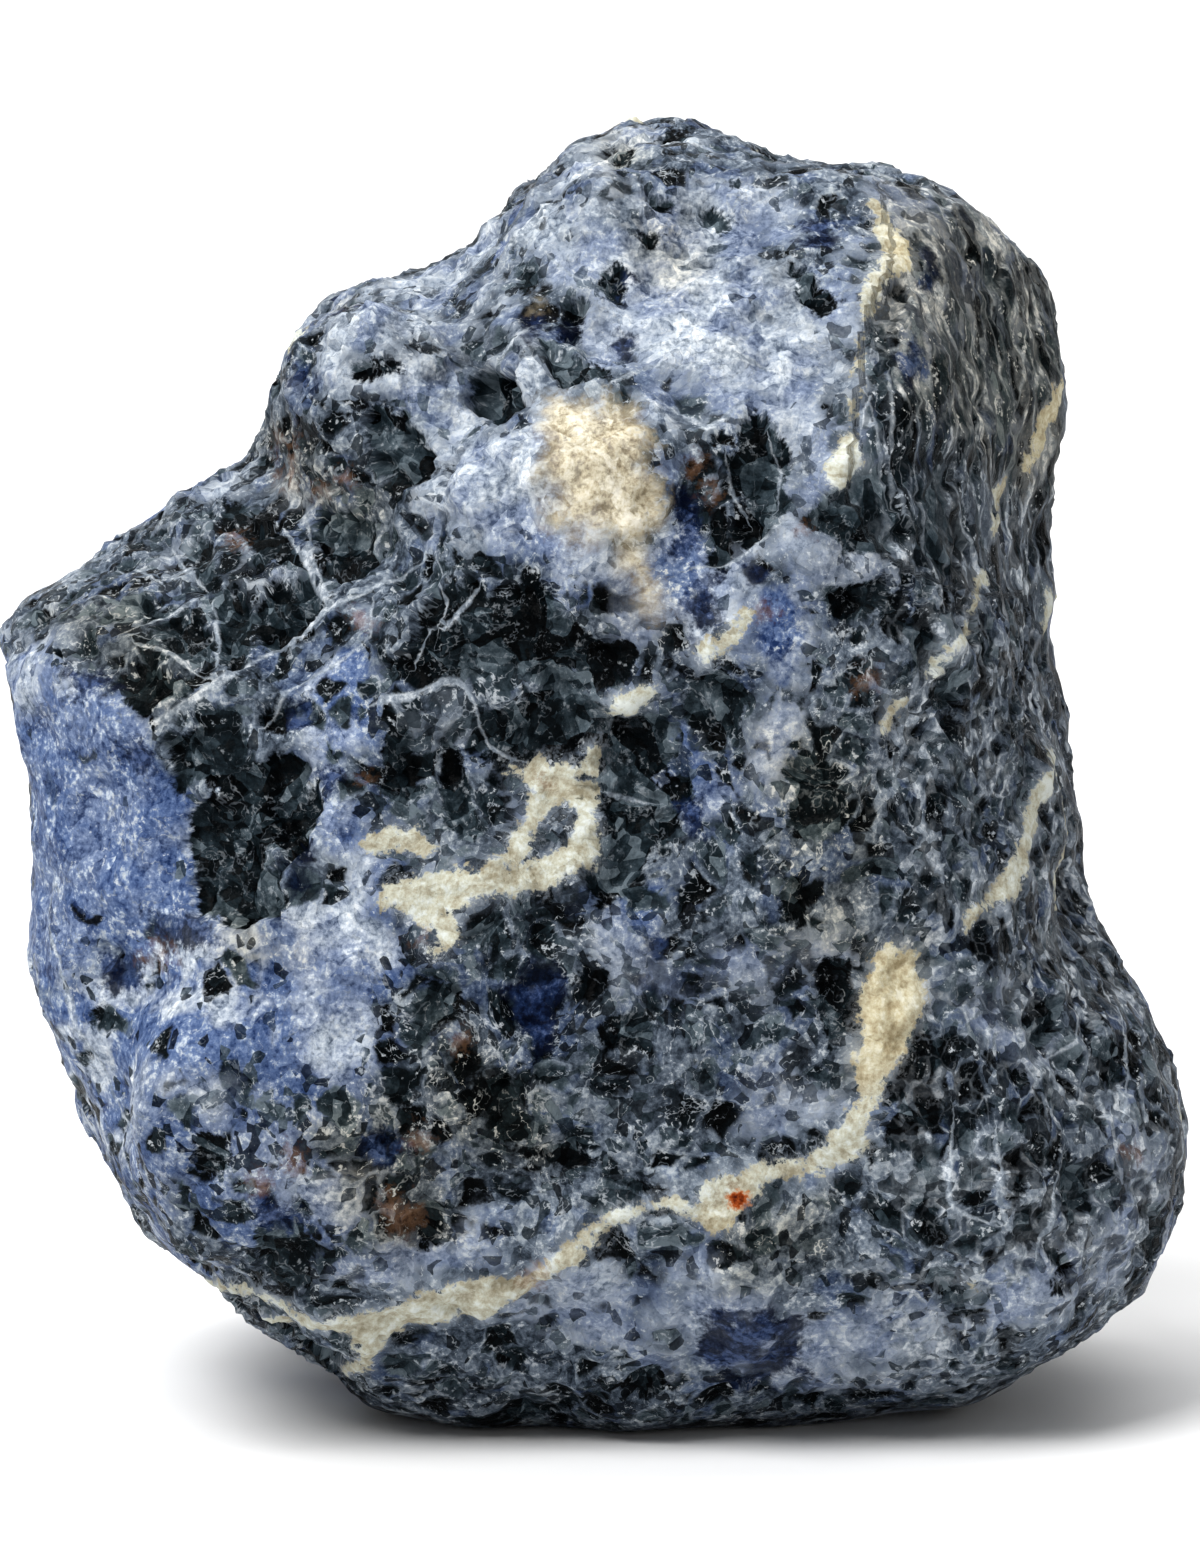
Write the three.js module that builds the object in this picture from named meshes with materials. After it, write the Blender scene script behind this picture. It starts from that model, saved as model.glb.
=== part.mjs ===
// A piece of rough sodalite, worn smooth, that stands on a small flat spot.
// Millimetres, +Z up, and -Y is its best side, the front. The origin is the middle of the
// bounding box's bottom, on the surface that the stone stands on.
//
// The stone is one solid. It starts as a field: a number for each point in space, below zero
// inside the stone and above zero outside. The field is put together from worn blocks with flat
// faces, from the outline that the stone shows from the front, and from the lumps, ridges, pits
// and grooves on it. Rays from the stone's heart then find where the field is zero.
import * as THREE from "three";
import { ImprovedNoise } from "three/addons/math/ImprovedNoise.js";
import { mergeVertices } from "three/addons/utils/BufferGeometryUtils.js";

// Driving dimensions.
const WIDTH = 84;
const DEPTH = 60;
const HEIGHT = 90;

// How finely the stone is cut: the steps along each side of the icosahedron that its rays leave
// through, the steps between two points of the outline, and the halvings of each ray.
const STEPS = 20;
const OUTLINE_STEPS = 12;
const HALVINGS = 30;

// Rounding of the worn edges: between two faces of a block, between blocks, and at the outline.
const EDGE_WEAR = 1.5;
const BLOCK_WEAR = 1.5;
const OUTLINE_WEAR = 2.2;

// The heart of the stone, from which every face is measured and every ray leaves.
const HEART = new THREE.Vector3(0, 0, 43);

// The outline from the front as [x, z], clockwise from the left end of the resting face. Its
// bottom runs below zero, where the flat spot cuts it off.
const OUTLINE = [
  [-11.5, -1.8],
  [-18, 1.9],
  [-24, 7.4],
  [-28.3, 11],
  [-32.6, 15.8],
  [-35.6, 20.7],
  [-38, 25.6],
  [-38.5, 31],
  [-38.2, 36],
  [-37.7, 40],
  [-37.5, 45],
  [-38.7, 49.9],
  [-40.6, 53.4],
  [-40.4, 55.8],
  [-35.5, 58.6],
  [-30, 61.3],
  [-28.4, 63.5],
  [-24.8, 64.4],
  [-22.4, 66],
  [-22, 70.3],
  [-21.1, 73.5],
  [-18.1, 76.5],
  [-15.4, 79],
  [-12.3, 79.4],
  [-9.5, 80.3],
  [-7, 81.3],
  [-4.6, 85.3],
  [-1.8, 86.9],
  [5, 90.5],
  [9.8, 90.6],
  [12.9, 88],
  [21, 86.5],
  [29.4, 85.2],
  [34, 80.2],
  [34.7, 73.8],
  [33.2, 69.8],
  [32.6, 64.9],
  [32.5, 59.7],
  [32.8, 53.9],
  [33.8, 43.2],
  [33.8, 36.4],
  [36, 31.5],
  [39.5, 25.8],
  [42.2, 16],
  [41.8, 11.2],
  [38.6, 8.3],
  [33.5, 5.4],
  [27.8, 1.4],
  [14, -1.6],
];

// The sides bow outward: this far in from the outline at the very front and back.
const SIDE_BOW = 5;
const HALF_DEPTH = 27;

// The worn blocks. A face is [azimuth, elevation, distance]: azimuth 0 looks to the front and
// 90 to the right, elevation is above level, both in degrees, and distance is from the heart.
const BLOCKS = {
  body: {
    front: [0, 3, 25],
    leftCheek: [-31, -3, 32.5],
    upperLeft: [-20, 45, 26.5],
    right: [60, 14, 31],
    underside: [0, -38, 38.5],
    underRight: [55, -40, 45],
    underLeft: [-50, -36, 40],
    back: [172, 2, 29],
    backLow: [200, -16, 29.5],
    backUpper: [150, 36, 36],
    backUpperLeft: [-152, 32, 36],
    backLeft: [-125, 8, 35.5],
    backRight: [122, 6, 38],
    backUnder: [178, -44, 38],
  },
  shoulder: {
    front: [2, 4, 25.5],
    brow: [-2, 40, 33.8],
    crown: [35, 74, 46],
    right: [62, 10, 31.8],
    leftFlank: [-70, 25, 24.5],
    underside: [0, -38, 38],
    back: [172, 2, 28],
    backUpper: [158, 38, 41],
    backUpperLeft: [-140, 34, 36],
    backRight: [124, 4, 39],
  },
};

// Rounded masses: [centre, radii along x, y and z].
const KNOB = { at: [-13.5, -2, 70], radii: [9.5, 14, 10.5] };
const TOE = { at: [29, 1, 18], radii: [13.5, 20, 17] };

// Relief on the worn faces, each from one point to another: how far it stands out (or is cut
// in, below zero) and how wide it is.
const RELIEF = [
  { name: "valley under the knob", from: [-24, -8, 66], to: [-12, -21, 60], out: -2.6, wide: 3 },
  { name: "gully beside the knob", from: [-11, -8, 79], to: [-7, -18, 73], out: -1.8, wide: 2.4 },
  { name: "crest of the knob", from: [-19, -9, 75], to: [-12, -13, 76.5], out: 0.9, wide: 2 },
  { name: "eye", from: [-7.2, -16, 71.2], to: [-7, -17, 70], out: -2.6, wide: 1.9 },
  { name: "broken pocket", from: [-3, -16, 76], to: [1, -17, 74], out: -1.7, wide: 2.4 },
  { name: "crest of the brow", from: [-10, -9, 80], to: [2, -11, 86], out: 0.9, wide: 2 },
  { name: "calcite boss", from: [-2, -25, 68], to: [1, -25, 63], out: 1.7, wide: 3.6 },
  { name: "hollow under the brow", from: [-16, -25, 46], to: [3, -26, 48], out: -2.8, wide: 7 },
  { name: "crest of the cheek", from: [-32, -20, 49.5], to: [-17, -24, 57], out: 1.6, wide: 2.4 },
  { name: "swell of the cheek", from: [-24, -25, 26], to: [-18, -26, 20], out: 1.4, wide: 7 },
  { name: "rib down the middle", from: [9, -26, 57], to: [13, -26, 38], out: 1.3, wide: 4 },
  { name: "shelf over the vein", from: [-6, -26, 20], to: [14, -26, 22], out: -1.3, wide: 4 },
  { name: "lip along the vein", from: [-15, -22, 9], to: [9, -24, 16.5], out: 0.9, wide: 2 },
  { name: "groove behind the cheek", from: [-39, -7, 38], to: [-35, -9, 20], out: -2.4, wide: 2.4 },
  { name: "fold of the cheek", from: [-31, -20, 22], to: [-26, -20, 13], out: -0.9, wide: 1.8 },
  { name: "calcite knot", from: [19.5, -25, 32], to: [18.5, -25, 27], out: 1, wide: 1.8 },
  { name: "valley above the toe", from: [34, -4, 36], to: [23, -22, 30], out: -1.8, wide: 3.6 },
  { name: "toe swelling", from: [34, -12, 21], to: [33, -12, 15], out: 1.8, wide: 7 },
  { name: "waist", from: [31, -6, 60], to: [31, -4, 50], out: -1.2, wide: 6 },
  { name: "ridge down the back", from: [-8, 25, 68], to: [12, 28, 34], out: 1.8, wide: 5 },
  { name: "hollow in the back", from: [20, 24, 60], to: [24, 22, 46], out: -2.4, wide: 7 },
  { name: "pocket in the back", from: [-20, 24, 44], to: [-16, 26, 36], out: -2.6, wide: 6 },
  { name: "step low on the back", from: [-26, 20, 22], to: [20, 24, 17], out: -1.8, wide: 4 },
];

// Roughness left all over the surface: swellings as [size, height], and the shallow bowls that
// old chips left, with a worn ridge between each bowl and the next.
const SWELLINGS = [
  [15, 1.1],
  [6.5, 0.5],
];
const CHIP_SIZE = 7.5;
const CHIP_DEPTH = 1.8;
const CHIP_MIDDLE = 0.3;

const noise = new ImprovedNoise();

function smoothMax(values, wear) {
  const top = Math.max(...values);
  const sum = values.reduce((total, value) => total + Math.exp((value - top) / wear), 0);
  return top + wear * Math.log(sum);
}

function smoothMin(values, wear) {
  return -smoothMax(
    values.map((value) => -value),
    wear,
  );
}

function facing(azimuth, elevation) {
  const around = THREE.MathUtils.degToRad(azimuth);
  const up = THREE.MathUtils.degToRad(elevation);
  return new THREE.Vector3(
    Math.sin(around) * Math.cos(up),
    -Math.cos(around) * Math.cos(up),
    Math.sin(up),
  );
}

const blocks = Object.values(BLOCKS).map((faces) =>
  Object.values(faces).map(([azimuth, elevation, distance]) => ({
    normal: facing(azimuth, elevation),
    distance,
  })),
);

function blockField(faces, fromHeart) {
  return smoothMax(
    faces.map(({ normal, distance }) => normal.dot(fromHeart) - distance),
    EDGE_WEAR,
  );
}

function massField({ at, radii }, point) {
  const across = Math.hypot(...point.toArray().map((value, i) => (value - at[i]) / radii[i]));
  return (across - 1) * Math.min(...radii);
}

// The outline's reach from the heart at each angle, read off a smooth closed curve.
const outlineCurve = new THREE.CatmullRomCurve3(
  OUTLINE.map(([x, z]) => new THREE.Vector3(x - HEART.x, 0, z - HEART.z)),
  true,
  "centripetal",
);
const outlineReach = outlineCurve
  .getPoints(OUTLINE.length * OUTLINE_STEPS)
  .map((point) => ({ angle: Math.atan2(point.z, point.x), reach: Math.hypot(point.x, point.z) }))
  .sort((a, b) => a.angle - b.angle);

function reachAt(angle) {
  const next = outlineReach.findIndex((sample) => sample.angle > angle);
  const after = outlineReach[next < 0 ? 0 : next];
  const before = outlineReach[(next <= 0 ? outlineReach.length : next) - 1];
  const turn = 2 * Math.PI;
  const span = (after.angle - before.angle + turn) % turn || 1;
  const part = ((angle - before.angle + turn) % turn) / span;
  return THREE.MathUtils.lerp(before.reach, after.reach, part);
}

function outlineField(fromHeart) {
  const reach = reachAt(Math.atan2(fromHeart.z, fromHeart.x));
  const bow = SIDE_BOW * (fromHeart.y / HALF_DEPTH) ** 2;
  return Math.hypot(fromHeart.x, fromHeart.z) - reach + bow;
}

const reliefLines = RELIEF.map(({ from, to, out, wide }) => ({
  line: new THREE.Line3(new THREE.Vector3(...from), new THREE.Vector3(...to)),
  out,
  wide,
}));

function relief(point) {
  const nearest = new THREE.Vector3();
  return reliefLines.reduce((total, { line, out, wide }) => {
    const away = line.closestPointToPoint(point, true, nearest).distanceTo(point);
    return total + out * Math.exp(-((away / wide) ** 2));
  }, 0);
}

function swellings({ x, y, z }) {
  return SWELLINGS.reduce(
    (total, [size, height]) => total + height * noise.noise(x / size, y / size, z / size),
    0,
  );
}

// A number from 0 to 1 that looks random, but is always the same for the same cell and turn.
function scatter(x, y, z, turn) {
  const value = Math.sin(x * 127.1 + y * 311.7 + z * 74.7 + turn * 53.3) * 43758.5453;
  return value - Math.floor(value);
}

// The cell that a point is in, and the 26 around it.
const SIDE_STEPS = [-1, 0, 1];
const NEIGHBOURS = SIDE_STEPS.flatMap((x) =>
  SIDE_STEPS.flatMap((y) => SIDE_STEPS.map((z) => new THREE.Vector3(x, y, z))),
);

// How far a point is from the middle of its chip, squared: 0 in the middle, about 0.5 on a
// ridge, and CHIP_MIDDLE on average.
function chips(point) {
  const scaled = point.clone().divideScalar(CHIP_SIZE);
  const cell = scaled.clone().floor();
  const distances = NEIGHBOURS.map((step) => {
    const { x, y, z } = cell.clone().add(step);
    const middle = new THREE.Vector3(
      x + scatter(x, y, z, 1),
      y + scatter(x, y, z, 2),
      z + scatter(x, y, z, 3),
    );
    return middle.distanceToSquared(scaled);
  });
  return Math.min(...distances);
}

function field(point) {
  const fromHeart = point.clone().sub(HEART);
  const solids = blocks.map((faces) => blockField(faces, fromHeart));
  solids.push(massField(KNOB, point), massField(TOE, point));
  const mass = smoothMin(solids, BLOCK_WEAR);
  const stone = smoothMax([mass, outlineField(fromHeart)], OUTLINE_WEAR);
  const chipped = CHIP_DEPTH * (chips(point) - CHIP_MIDDLE);
  return stone - relief(point) - swellings(point) - chipped;
}

// Halves the ray again and again until it ends on the surface.
function surfacePoint(direction) {
  let inside = 0;
  let outside = HEIGHT;
  for (let halving = 0; halving < HALVINGS; halving += 1) {
    const middle = (inside + outside) / 2;
    const point = HEART.clone().addScaledVector(direction, middle);
    if (field(point) < 0) {
      inside = middle;
    } else {
      outside = middle;
    }
  }
  return HEART.clone().addScaledVector(direction, inside);
}

function makeStone() {
  const geometry = new THREE.IcosahedronGeometry(1, STEPS - 1);
  geometry.deleteAttribute("normal");
  geometry.deleteAttribute("uv");
  const stone = mergeVertices(geometry);
  const positions = stone.attributes.position;
  const direction = new THREE.Vector3();
  for (let i = 0; i < positions.count; i += 1) {
    direction.fromBufferAttribute(positions, i).normalize();
    const point = surfacePoint(direction);
    positions.setXYZ(i, point.x, point.y, Math.max(point.z, 0));
  }
  stone.computeBoundingBox();
  const { min, max } = stone.boundingBox;
  stone.translate(-(min.x + max.x) / 2, -(min.y + max.y) / 2, -min.z);
  stone.scale(WIDTH / (max.x - min.x), DEPTH / (max.y - min.y), HEIGHT / (max.z - min.z));
  stone.computeVertexNormals();
  return stone;
}

const sodalite = new THREE.MeshStandardMaterial({ color: 0x3a4a66, roughness: 0.55, metalness: 0 });

const stone = new THREE.Mesh(makeStone(), sodalite);
stone.name = "sodalite";

const group = new THREE.Group();
group.add(stone);

export default group;
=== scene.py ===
# %% [markdown]
# # A piece of rough sodalite
# Sodalite is a blue rock. This piece was broken from a larger block and then worn, so its faces
# are dull and its edges are round. The packed model gives the stone's form at its real size. The
# cells below add what a hand would feel and an eye would see: grain, broken hollows, blue and
# black patches, a pale web between the grains, and veins of cream calcite.

# %% The packed model
import math

import bmesh
import bpy
import numpy as np
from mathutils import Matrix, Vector, noise
from mathutils.bvhtree import BVHTree


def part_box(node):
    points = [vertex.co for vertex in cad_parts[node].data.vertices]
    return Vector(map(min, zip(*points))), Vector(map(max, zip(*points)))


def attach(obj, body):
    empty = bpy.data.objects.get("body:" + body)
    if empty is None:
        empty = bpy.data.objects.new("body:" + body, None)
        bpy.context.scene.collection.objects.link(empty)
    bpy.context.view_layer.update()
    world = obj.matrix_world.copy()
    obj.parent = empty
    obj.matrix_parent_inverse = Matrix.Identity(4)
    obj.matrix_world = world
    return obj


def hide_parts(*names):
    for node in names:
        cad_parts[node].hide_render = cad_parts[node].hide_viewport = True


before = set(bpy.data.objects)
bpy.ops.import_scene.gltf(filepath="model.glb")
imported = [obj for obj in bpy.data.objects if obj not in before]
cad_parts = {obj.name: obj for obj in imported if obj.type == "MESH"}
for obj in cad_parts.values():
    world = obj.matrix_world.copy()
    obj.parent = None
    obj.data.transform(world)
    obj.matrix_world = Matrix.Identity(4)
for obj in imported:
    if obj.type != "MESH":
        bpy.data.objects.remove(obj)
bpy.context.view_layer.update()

MM = 0.001
stone_low, stone_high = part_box("sodalite")
print("stone, mm:", [round((b - a) / MM, 1) for a, b in zip(stone_low, stone_high)])

# %% [markdown]
# ## The camera
# It stands a little above the stone and looks at the middle of its best side. A long lens from
# some distance keeps the near and far faces in proportion. The marks on the stone are placed
# further down by where this camera sees them, so it comes first.

# %% The camera
CAMERA_AWAY = 420 * MM
CAMERA_RISE = math.radians(6)
CAMERA_AIM = Vector((0, 0, 43.9 * MM))
SEEN_HEIGHT = 109.4 * MM
SENSOR = 36.0

lens = bpy.data.cameras.new("lens")
lens.sensor_width = SENSOR
lens.lens = SENSOR * CAMERA_AWAY / SEEN_HEIGHT
lens.clip_start = 10 * MM
camera = bpy.data.objects.new("camera", lens)
bpy.context.scene.collection.objects.link(camera)
to_camera = Vector((0, -math.cos(CAMERA_RISE), math.sin(CAMERA_RISE)))
camera.location = CAMERA_AIM + to_camera * CAMERA_AWAY
camera.rotation_euler = to_camera.to_track_quat("Z", "Y").to_euler()
bpy.context.scene.camera = camera
print("lens, mm:", round(lens.lens, 1))

# %% [markdown]
# ## The stone's skin
# The packed solid has 8,000 flat triangles, too few for grain. It could be sculpted by hand or
# subdivided. Here a copy is smoothed and then remeshed to an even net of small squares, because
# even squares take fine relief equally well on every side.

# %% The stone's skin
NET_SIZE = 0.485 * MM
WELD_GAP = 0.01 * MM


def evaluated_copy(source, name):
    """A new object with the mesh that source's modifiers make."""
    seen = source.evaluated_get(bpy.context.evaluated_depsgraph_get())
    copy = bpy.data.objects.new(name, bpy.data.meshes.new_from_object(seen))
    bpy.context.scene.collection.objects.link(copy)
    return copy


rough_cut = evaluated_copy(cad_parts["sodalite"], "rough_cut")
rough_cut.data.materials.clear()
weld = rough_cut.modifiers.new("weld", "WELD")
weld.merge_threshold = WELD_GAP
rounding = rough_cut.modifiers.new("rounding", "SUBSURF")
rounding.levels = 2
net = rough_cut.modifiers.new("net", "REMESH")
net.mode = "VOXEL"
net.voxel_size = NET_SIZE
stone = evaluated_copy(rough_cut, "sodalite_skin")
bpy.data.objects.remove(rough_cut)
stone.data.shade_smooth()
print("faces in the net:", len(stone.data.polygons))

# %% [markdown]
# ## Where the camera sees each point
# Each patch and vein is drawn as a painter would, by where it is seen from the front: across and
# up from the middle of the foot, in millimetres. It could be painted on an unwrapped sheet, but a
# sheet tears and stretches at its seams. So every point of the net gets its place in that view,
# and how far the surface there turns toward the camera.

# %% Where the camera sees each point
AIM_UP = 46.4
RIGHT = camera.rotation_euler.to_matrix() @ Vector((1, 0, 0))
UP = camera.rotation_euler.to_matrix() @ Vector((0, 1, 0))


def rows_of(vertices, name):
    """Three numbers for every point of a net, one row a point."""
    values = np.zeros(len(vertices) * 3)
    vertices.foreach_get(name, values)
    return values.reshape(-1, 3)


points = rows_of(stone.data.vertices, "co")
normals = rows_of(stone.data.vertices, "normal")
points_mm = points / MM
count = len(points)

from_camera = points - np.array(camera.location)
depth = -from_camera @ np.array(to_camera)
across = from_camera @ np.array(RIGHT) / depth * CAMERA_AWAY / MM
up = from_camera @ np.array(UP) / depth * CAMERA_AWAY / MM + AIM_UP
toward = -(from_camera * normals).sum(1) / np.linalg.norm(from_camera, axis=1)
print("points on the net:", count, " seen from the front:", int((toward > 0).sum()))

# %% [markdown]
# ## Outlines
# A patch is an outline of a few corners. It could be kept as inside or outside, but the distance
# to the outline is kept at every point of the net, because a distance can be frayed with noise,
# faded, and turned into depth later.

# %% Outlines


def smooth(values, low, high):
    """0 below low, 1 above high, and an even curve between them. low may be above high."""
    part = np.clip((values - low) / (high - low), 0, 1)
    return part * part * (3 - 2 * part)


def outline_distance(outline, x, y):
    """Distance to a closed outline, below zero inside it."""
    corners = np.array(outline, float)
    ends = np.roll(corners, -1, axis=0)
    nearest = np.full(len(x), np.inf)
    inside = np.zeros(len(x), bool)
    for (ax, ay), (bx, by) in zip(corners, ends):
        run_x, run_y = bx - ax, by - ay
        along = np.clip(((x - ax) * run_x + (y - ay) * run_y) / (run_x**2 + run_y**2), 0, 1)
        nearest = np.minimum(nearest, np.hypot(x - ax - along * run_x, y - ay - along * run_y))
        if ay != by:
            crossing = run_x * (y - ay) / run_y + ax
            inside ^= ((ay > y) != (by > y)) & (x < crossing)
    return np.where(inside, -nearest, nearest)


def patches(outlines):
    """Distance to the nearest of several outlines."""
    return np.min([outline_distance(outline, across, up) for outline in outlines], axis=0)


square = patches([[(-5, 40), (5, 40), (5, 50), (-5, 50)]])
print("points in a square of 10 mm:", int((square < 0).sum()))

# %% [markdown]
# ## Lines
# Veins are lines. Drawn flat, a vein would smear out where the face turns away from the camera.
# So a ray from the camera lays each point of a line on the surface, and the distance to the line
# is measured there in space. The vein then keeps its true width.

# %% Lines
LINE_STEP = 0.5
surface = BVHTree.FromObject(stone, bpy.context.evaluated_depsgraph_get())


def lay(line):
    """The line's points, filled in every step and laid on the stone, as rows of x, y, z, width."""
    laid = []
    for (ax, ay, aw), (bx, by, bw) in zip(line, line[1:]):
        pieces = max(1, round(math.hypot(bx - ax, by - ay) / LINE_STEP))
        for i in range(pieces + 1):
            t = i / pieces
            x, y, width = ax + t * (bx - ax), ay + t * (by - ay), aw + t * (bw - aw)
            seen = CAMERA_AIM + RIGHT * x * MM + UP * (y - AIM_UP) * MM
            hit = surface.ray_cast(camera.location, seen - camera.location)[0]
            if hit is not None:
                laid.append((*(hit / MM), width))
    return np.array(laid)


def line_distance(line):
    """For each point of the net: distance to the laid line, its width there, and its side."""
    laid = lay(line)
    near = np.full(count, np.inf)
    width = np.zeros(count)
    side = np.ones(count)
    for a, b in zip(laid, laid[1:]):
        run = b[:3] - a[:3]
        length = run @ run
        if length == 0:
            continue
        offset = points_mm - a[:3]
        along = np.clip(offset @ run / length, 0, 1)
        gap = offset - along[:, None] * run
        away = np.linalg.norm(gap, axis=1)
        closer = away < near
        near[closer] = away[closer]
        width[closer] = (a[3] + along * (b[3] - a[3]))[closer]
        turn = (np.cross(run, gap) * normals).sum(1)
        side[closer] = np.where(turn < 0, -1, 1)[closer]
    return near, width, side


print("points on a level line of 10 mm:", len(lay([(-5, 45, 0), (5, 45, 0)])))

# %% [markdown]
# ## Black patches
# Where the rock holds little white feldspar the sodalite is nearly black. These patches have
# ragged edges, so their outlines are drawn with few corners and are broken up later with noise.
# Many of them are hollows where a piece broke out, so each has a depth in millimetres. The first
# are on the cheek at the left and in the middle.

# %% Black patches, cheek and middle
BLACK = {
    "cheek, right hollow": (0.8, [(-24.3, 58.6), (-23, 60.1), (-20.4, 60.3), (-19.4, 59.4), (-20, 57.8),
        (-22, 56), (-23.4, 55.4), (-24.2, 56.6)]),
    "cheek, middle hollow": (0.6, [(-27, 59.6), (-25.4, 59.6), (-24.7, 57.4), (-24.5, 55), (-26, 54.2),
        (-27, 55)]),
    "cheek, left hollow": (0.5, [(-31.6, 56.5), (-29.8, 58), (-27.6, 58.6), (-27.3, 54.4),
        (-29.2, 54.3), (-31, 55.3)]),
    "cheek, stripes": (0.3, [(-27.4, 65.6), (-24.4, 65.6), (-22, 63.4), (-20.2, 60.9), (-21.4, 61),
        (-24.4, 61.6), (-25.2, 63.2)]),
    "cheek, slate face": (0.3, [(-29.3, 62), (-28.5, 63.8), (-27.4, 63), (-27.2, 60.8), (-28.4, 60.4)]),
    "cheek, dot": (0.4, [(-30, 65.4), (-29.2, 66), (-28.8, 65.4), (-29.4, 64.8)]),
    "cheek, left": (0.3, [(-34, 59), (-32, 59.6), (-31.2, 58.6), (-33, 57.6)]),
    "cheek, far left": (0.3, [(-40.6, 57.6), (-39, 58.4), (-38.2, 57.6), (-39.8, 57)]),
    "cheek, low": (0.4, [(-33.2, 53.4), (-31.8, 54.6), (-28, 52.8), (-29.6, 51.8), (-32.6, 50.6),
        (-33.4, 51.8)]),
    "cells under the knob": (0.6, [(-20.5, 64.3), (-18.5, 65.6), (-16, 64), (-15.8, 61), (-17.5, 59.8),
        (-19.3, 60.5)]),
    "broken patch": (1.0, [(-30.6, 48.6), (-28, 50.2), (-25.2, 49.6), (-24.4, 47.6), (-22, 47.8),
        (-20.4, 46), (-20, 42.4), (-22.4, 40.8), (-23, 39.2), (-22.2, 37.6), (-25.8, 35.9),
        (-28.6, 36.4), (-29.4, 38.2), (-28.6, 40.2), (-28.6, 43.2), (-28, 45.2), (-30.2, 46.4)]),
    "spot over the band": (0.6, [(-23.8, 50.9), (-20.4, 52.2), (-19.6, 50.4), (-21.6, 49.4),
        (-23.6, 49.6)]),
    "striped patch": (0.5, [(-15.2, 50.2), (-13.6, 50.4), (-13.2, 47), (-13, 43), (-14, 43.4),
        (-15.4, 45.6), (-15.4, 48)]),
    "striped patch, right": (0.5, [(-11.2, 48.4), (-9.8, 48.4), (-9.2, 46.4), (-8.8, 44.4), (-9, 42.6),
        (-10.6, 42), (-11.4, 43), (-11, 46)]),
    "heart, above": (0.7, [(-15.4, 53.4), (-13.4, 56.2), (-12.6, 59), (-9.6, 60.2), (-6, 59.8),
        (-3, 59), (-1.6, 57.4), (0, 56), (2, 54.6), (1.6, 52.8), (-3, 53.2), (-7, 53.4), (-10, 52.8)]),
    "heart, middle": (0.6, [(-8.2, 51.6), (-4, 52.4), (0.4, 52.2), (0.2, 49.6), (-2, 48), (-4.4, 47.8),
        (-6.2, 46.8), (-8.8, 48.6), (-9, 50.2)]),
    "heart, right": (0.7, [(-0.4, 50.6), (4.2, 51.4), (5, 49), (5.2, 47.8), (3.8, 46.2), (6, 45.4),
        (5.8, 43.4), (4.2, 40.6), (3, 37.8), (0.4, 37), (-1, 39.4), (-0.2, 42), (-0.6, 45),
        (-0.6, 48)]),
    "under the white vein": (0.7, [(-9.6, 36.6), (-7, 37), (-6.2, 35.6), (-8, 34.2), (-9.6, 34.8)]),
    "navy patch": (0.4, [(-6.4, 31.2), (-4.6, 33), (-3, 32.6), (-2.8, 30.4), (-3.4, 28.4), (-4.2, 26.8),
        (-5.6, 28)]),
    "spot in the middle": (0.5, [(-13.6, 30.6), (-12, 31.4), (-10.2, 31.6), (-9.6, 29.4), (-11.4, 28.4),
        (-13.2, 28.4)]),
    "cell below it": (0.4, [(-15.2, 24.4), (-14.2, 24.6), (-12.9, 23.9), (-13.6, 23.1), (-14.9, 23.4)]),
    "navy cell": (0.4, [(-17, 21), (-15, 21.2), (-13.7, 20.2), (-14.6, 19), (-16.4, 19.4)]),
    "cells in the middle": (0.5, [(-8.8, 24.8), (-6.4, 25.2), (-5.4, 23.4), (-7, 21.8), (-8.4, 22.6)]),
    "column in the middle": (0.5, [(-4.4, 27.6), (-3.2, 27), (-3.4, 24.4), (-4.4, 24.6)]),
    "right of the middle": (0.5, [(0.4, 29.6), (3.6, 30), (3.8, 28), (2, 26.6), (0.4, 27.6)]),
    "low line": (0.4, [(0.4, 18), (4.8, 17.4), (5.2, 16.8), (2.6, 17), (0.2, 17.4)]),
    "wide low cells": (0.4, [(-6, 20.6), (-2, 20.4), (0.4, 19), (-2.6, 18.6), (-5.4, 19)]),
    "pit by the loop": (0.6, [(-1.8, 32.2), (0.6, 33), (0.8, 31), (-0.8, 30.2)]),
    "column by the vein": (0.5, [(15.8, 33.6), (17.6, 33), (18.2, 30.6), (17.6, 28.2), (16.2, 27.2),
        (15.3, 29.4)]),
}
print("black patches on the cheek and in the middle:", len(BLACK))

# %% [markdown]
# The knob and the brow at the top are pale, with an eye-shaped hollow and small black pits.

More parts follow.
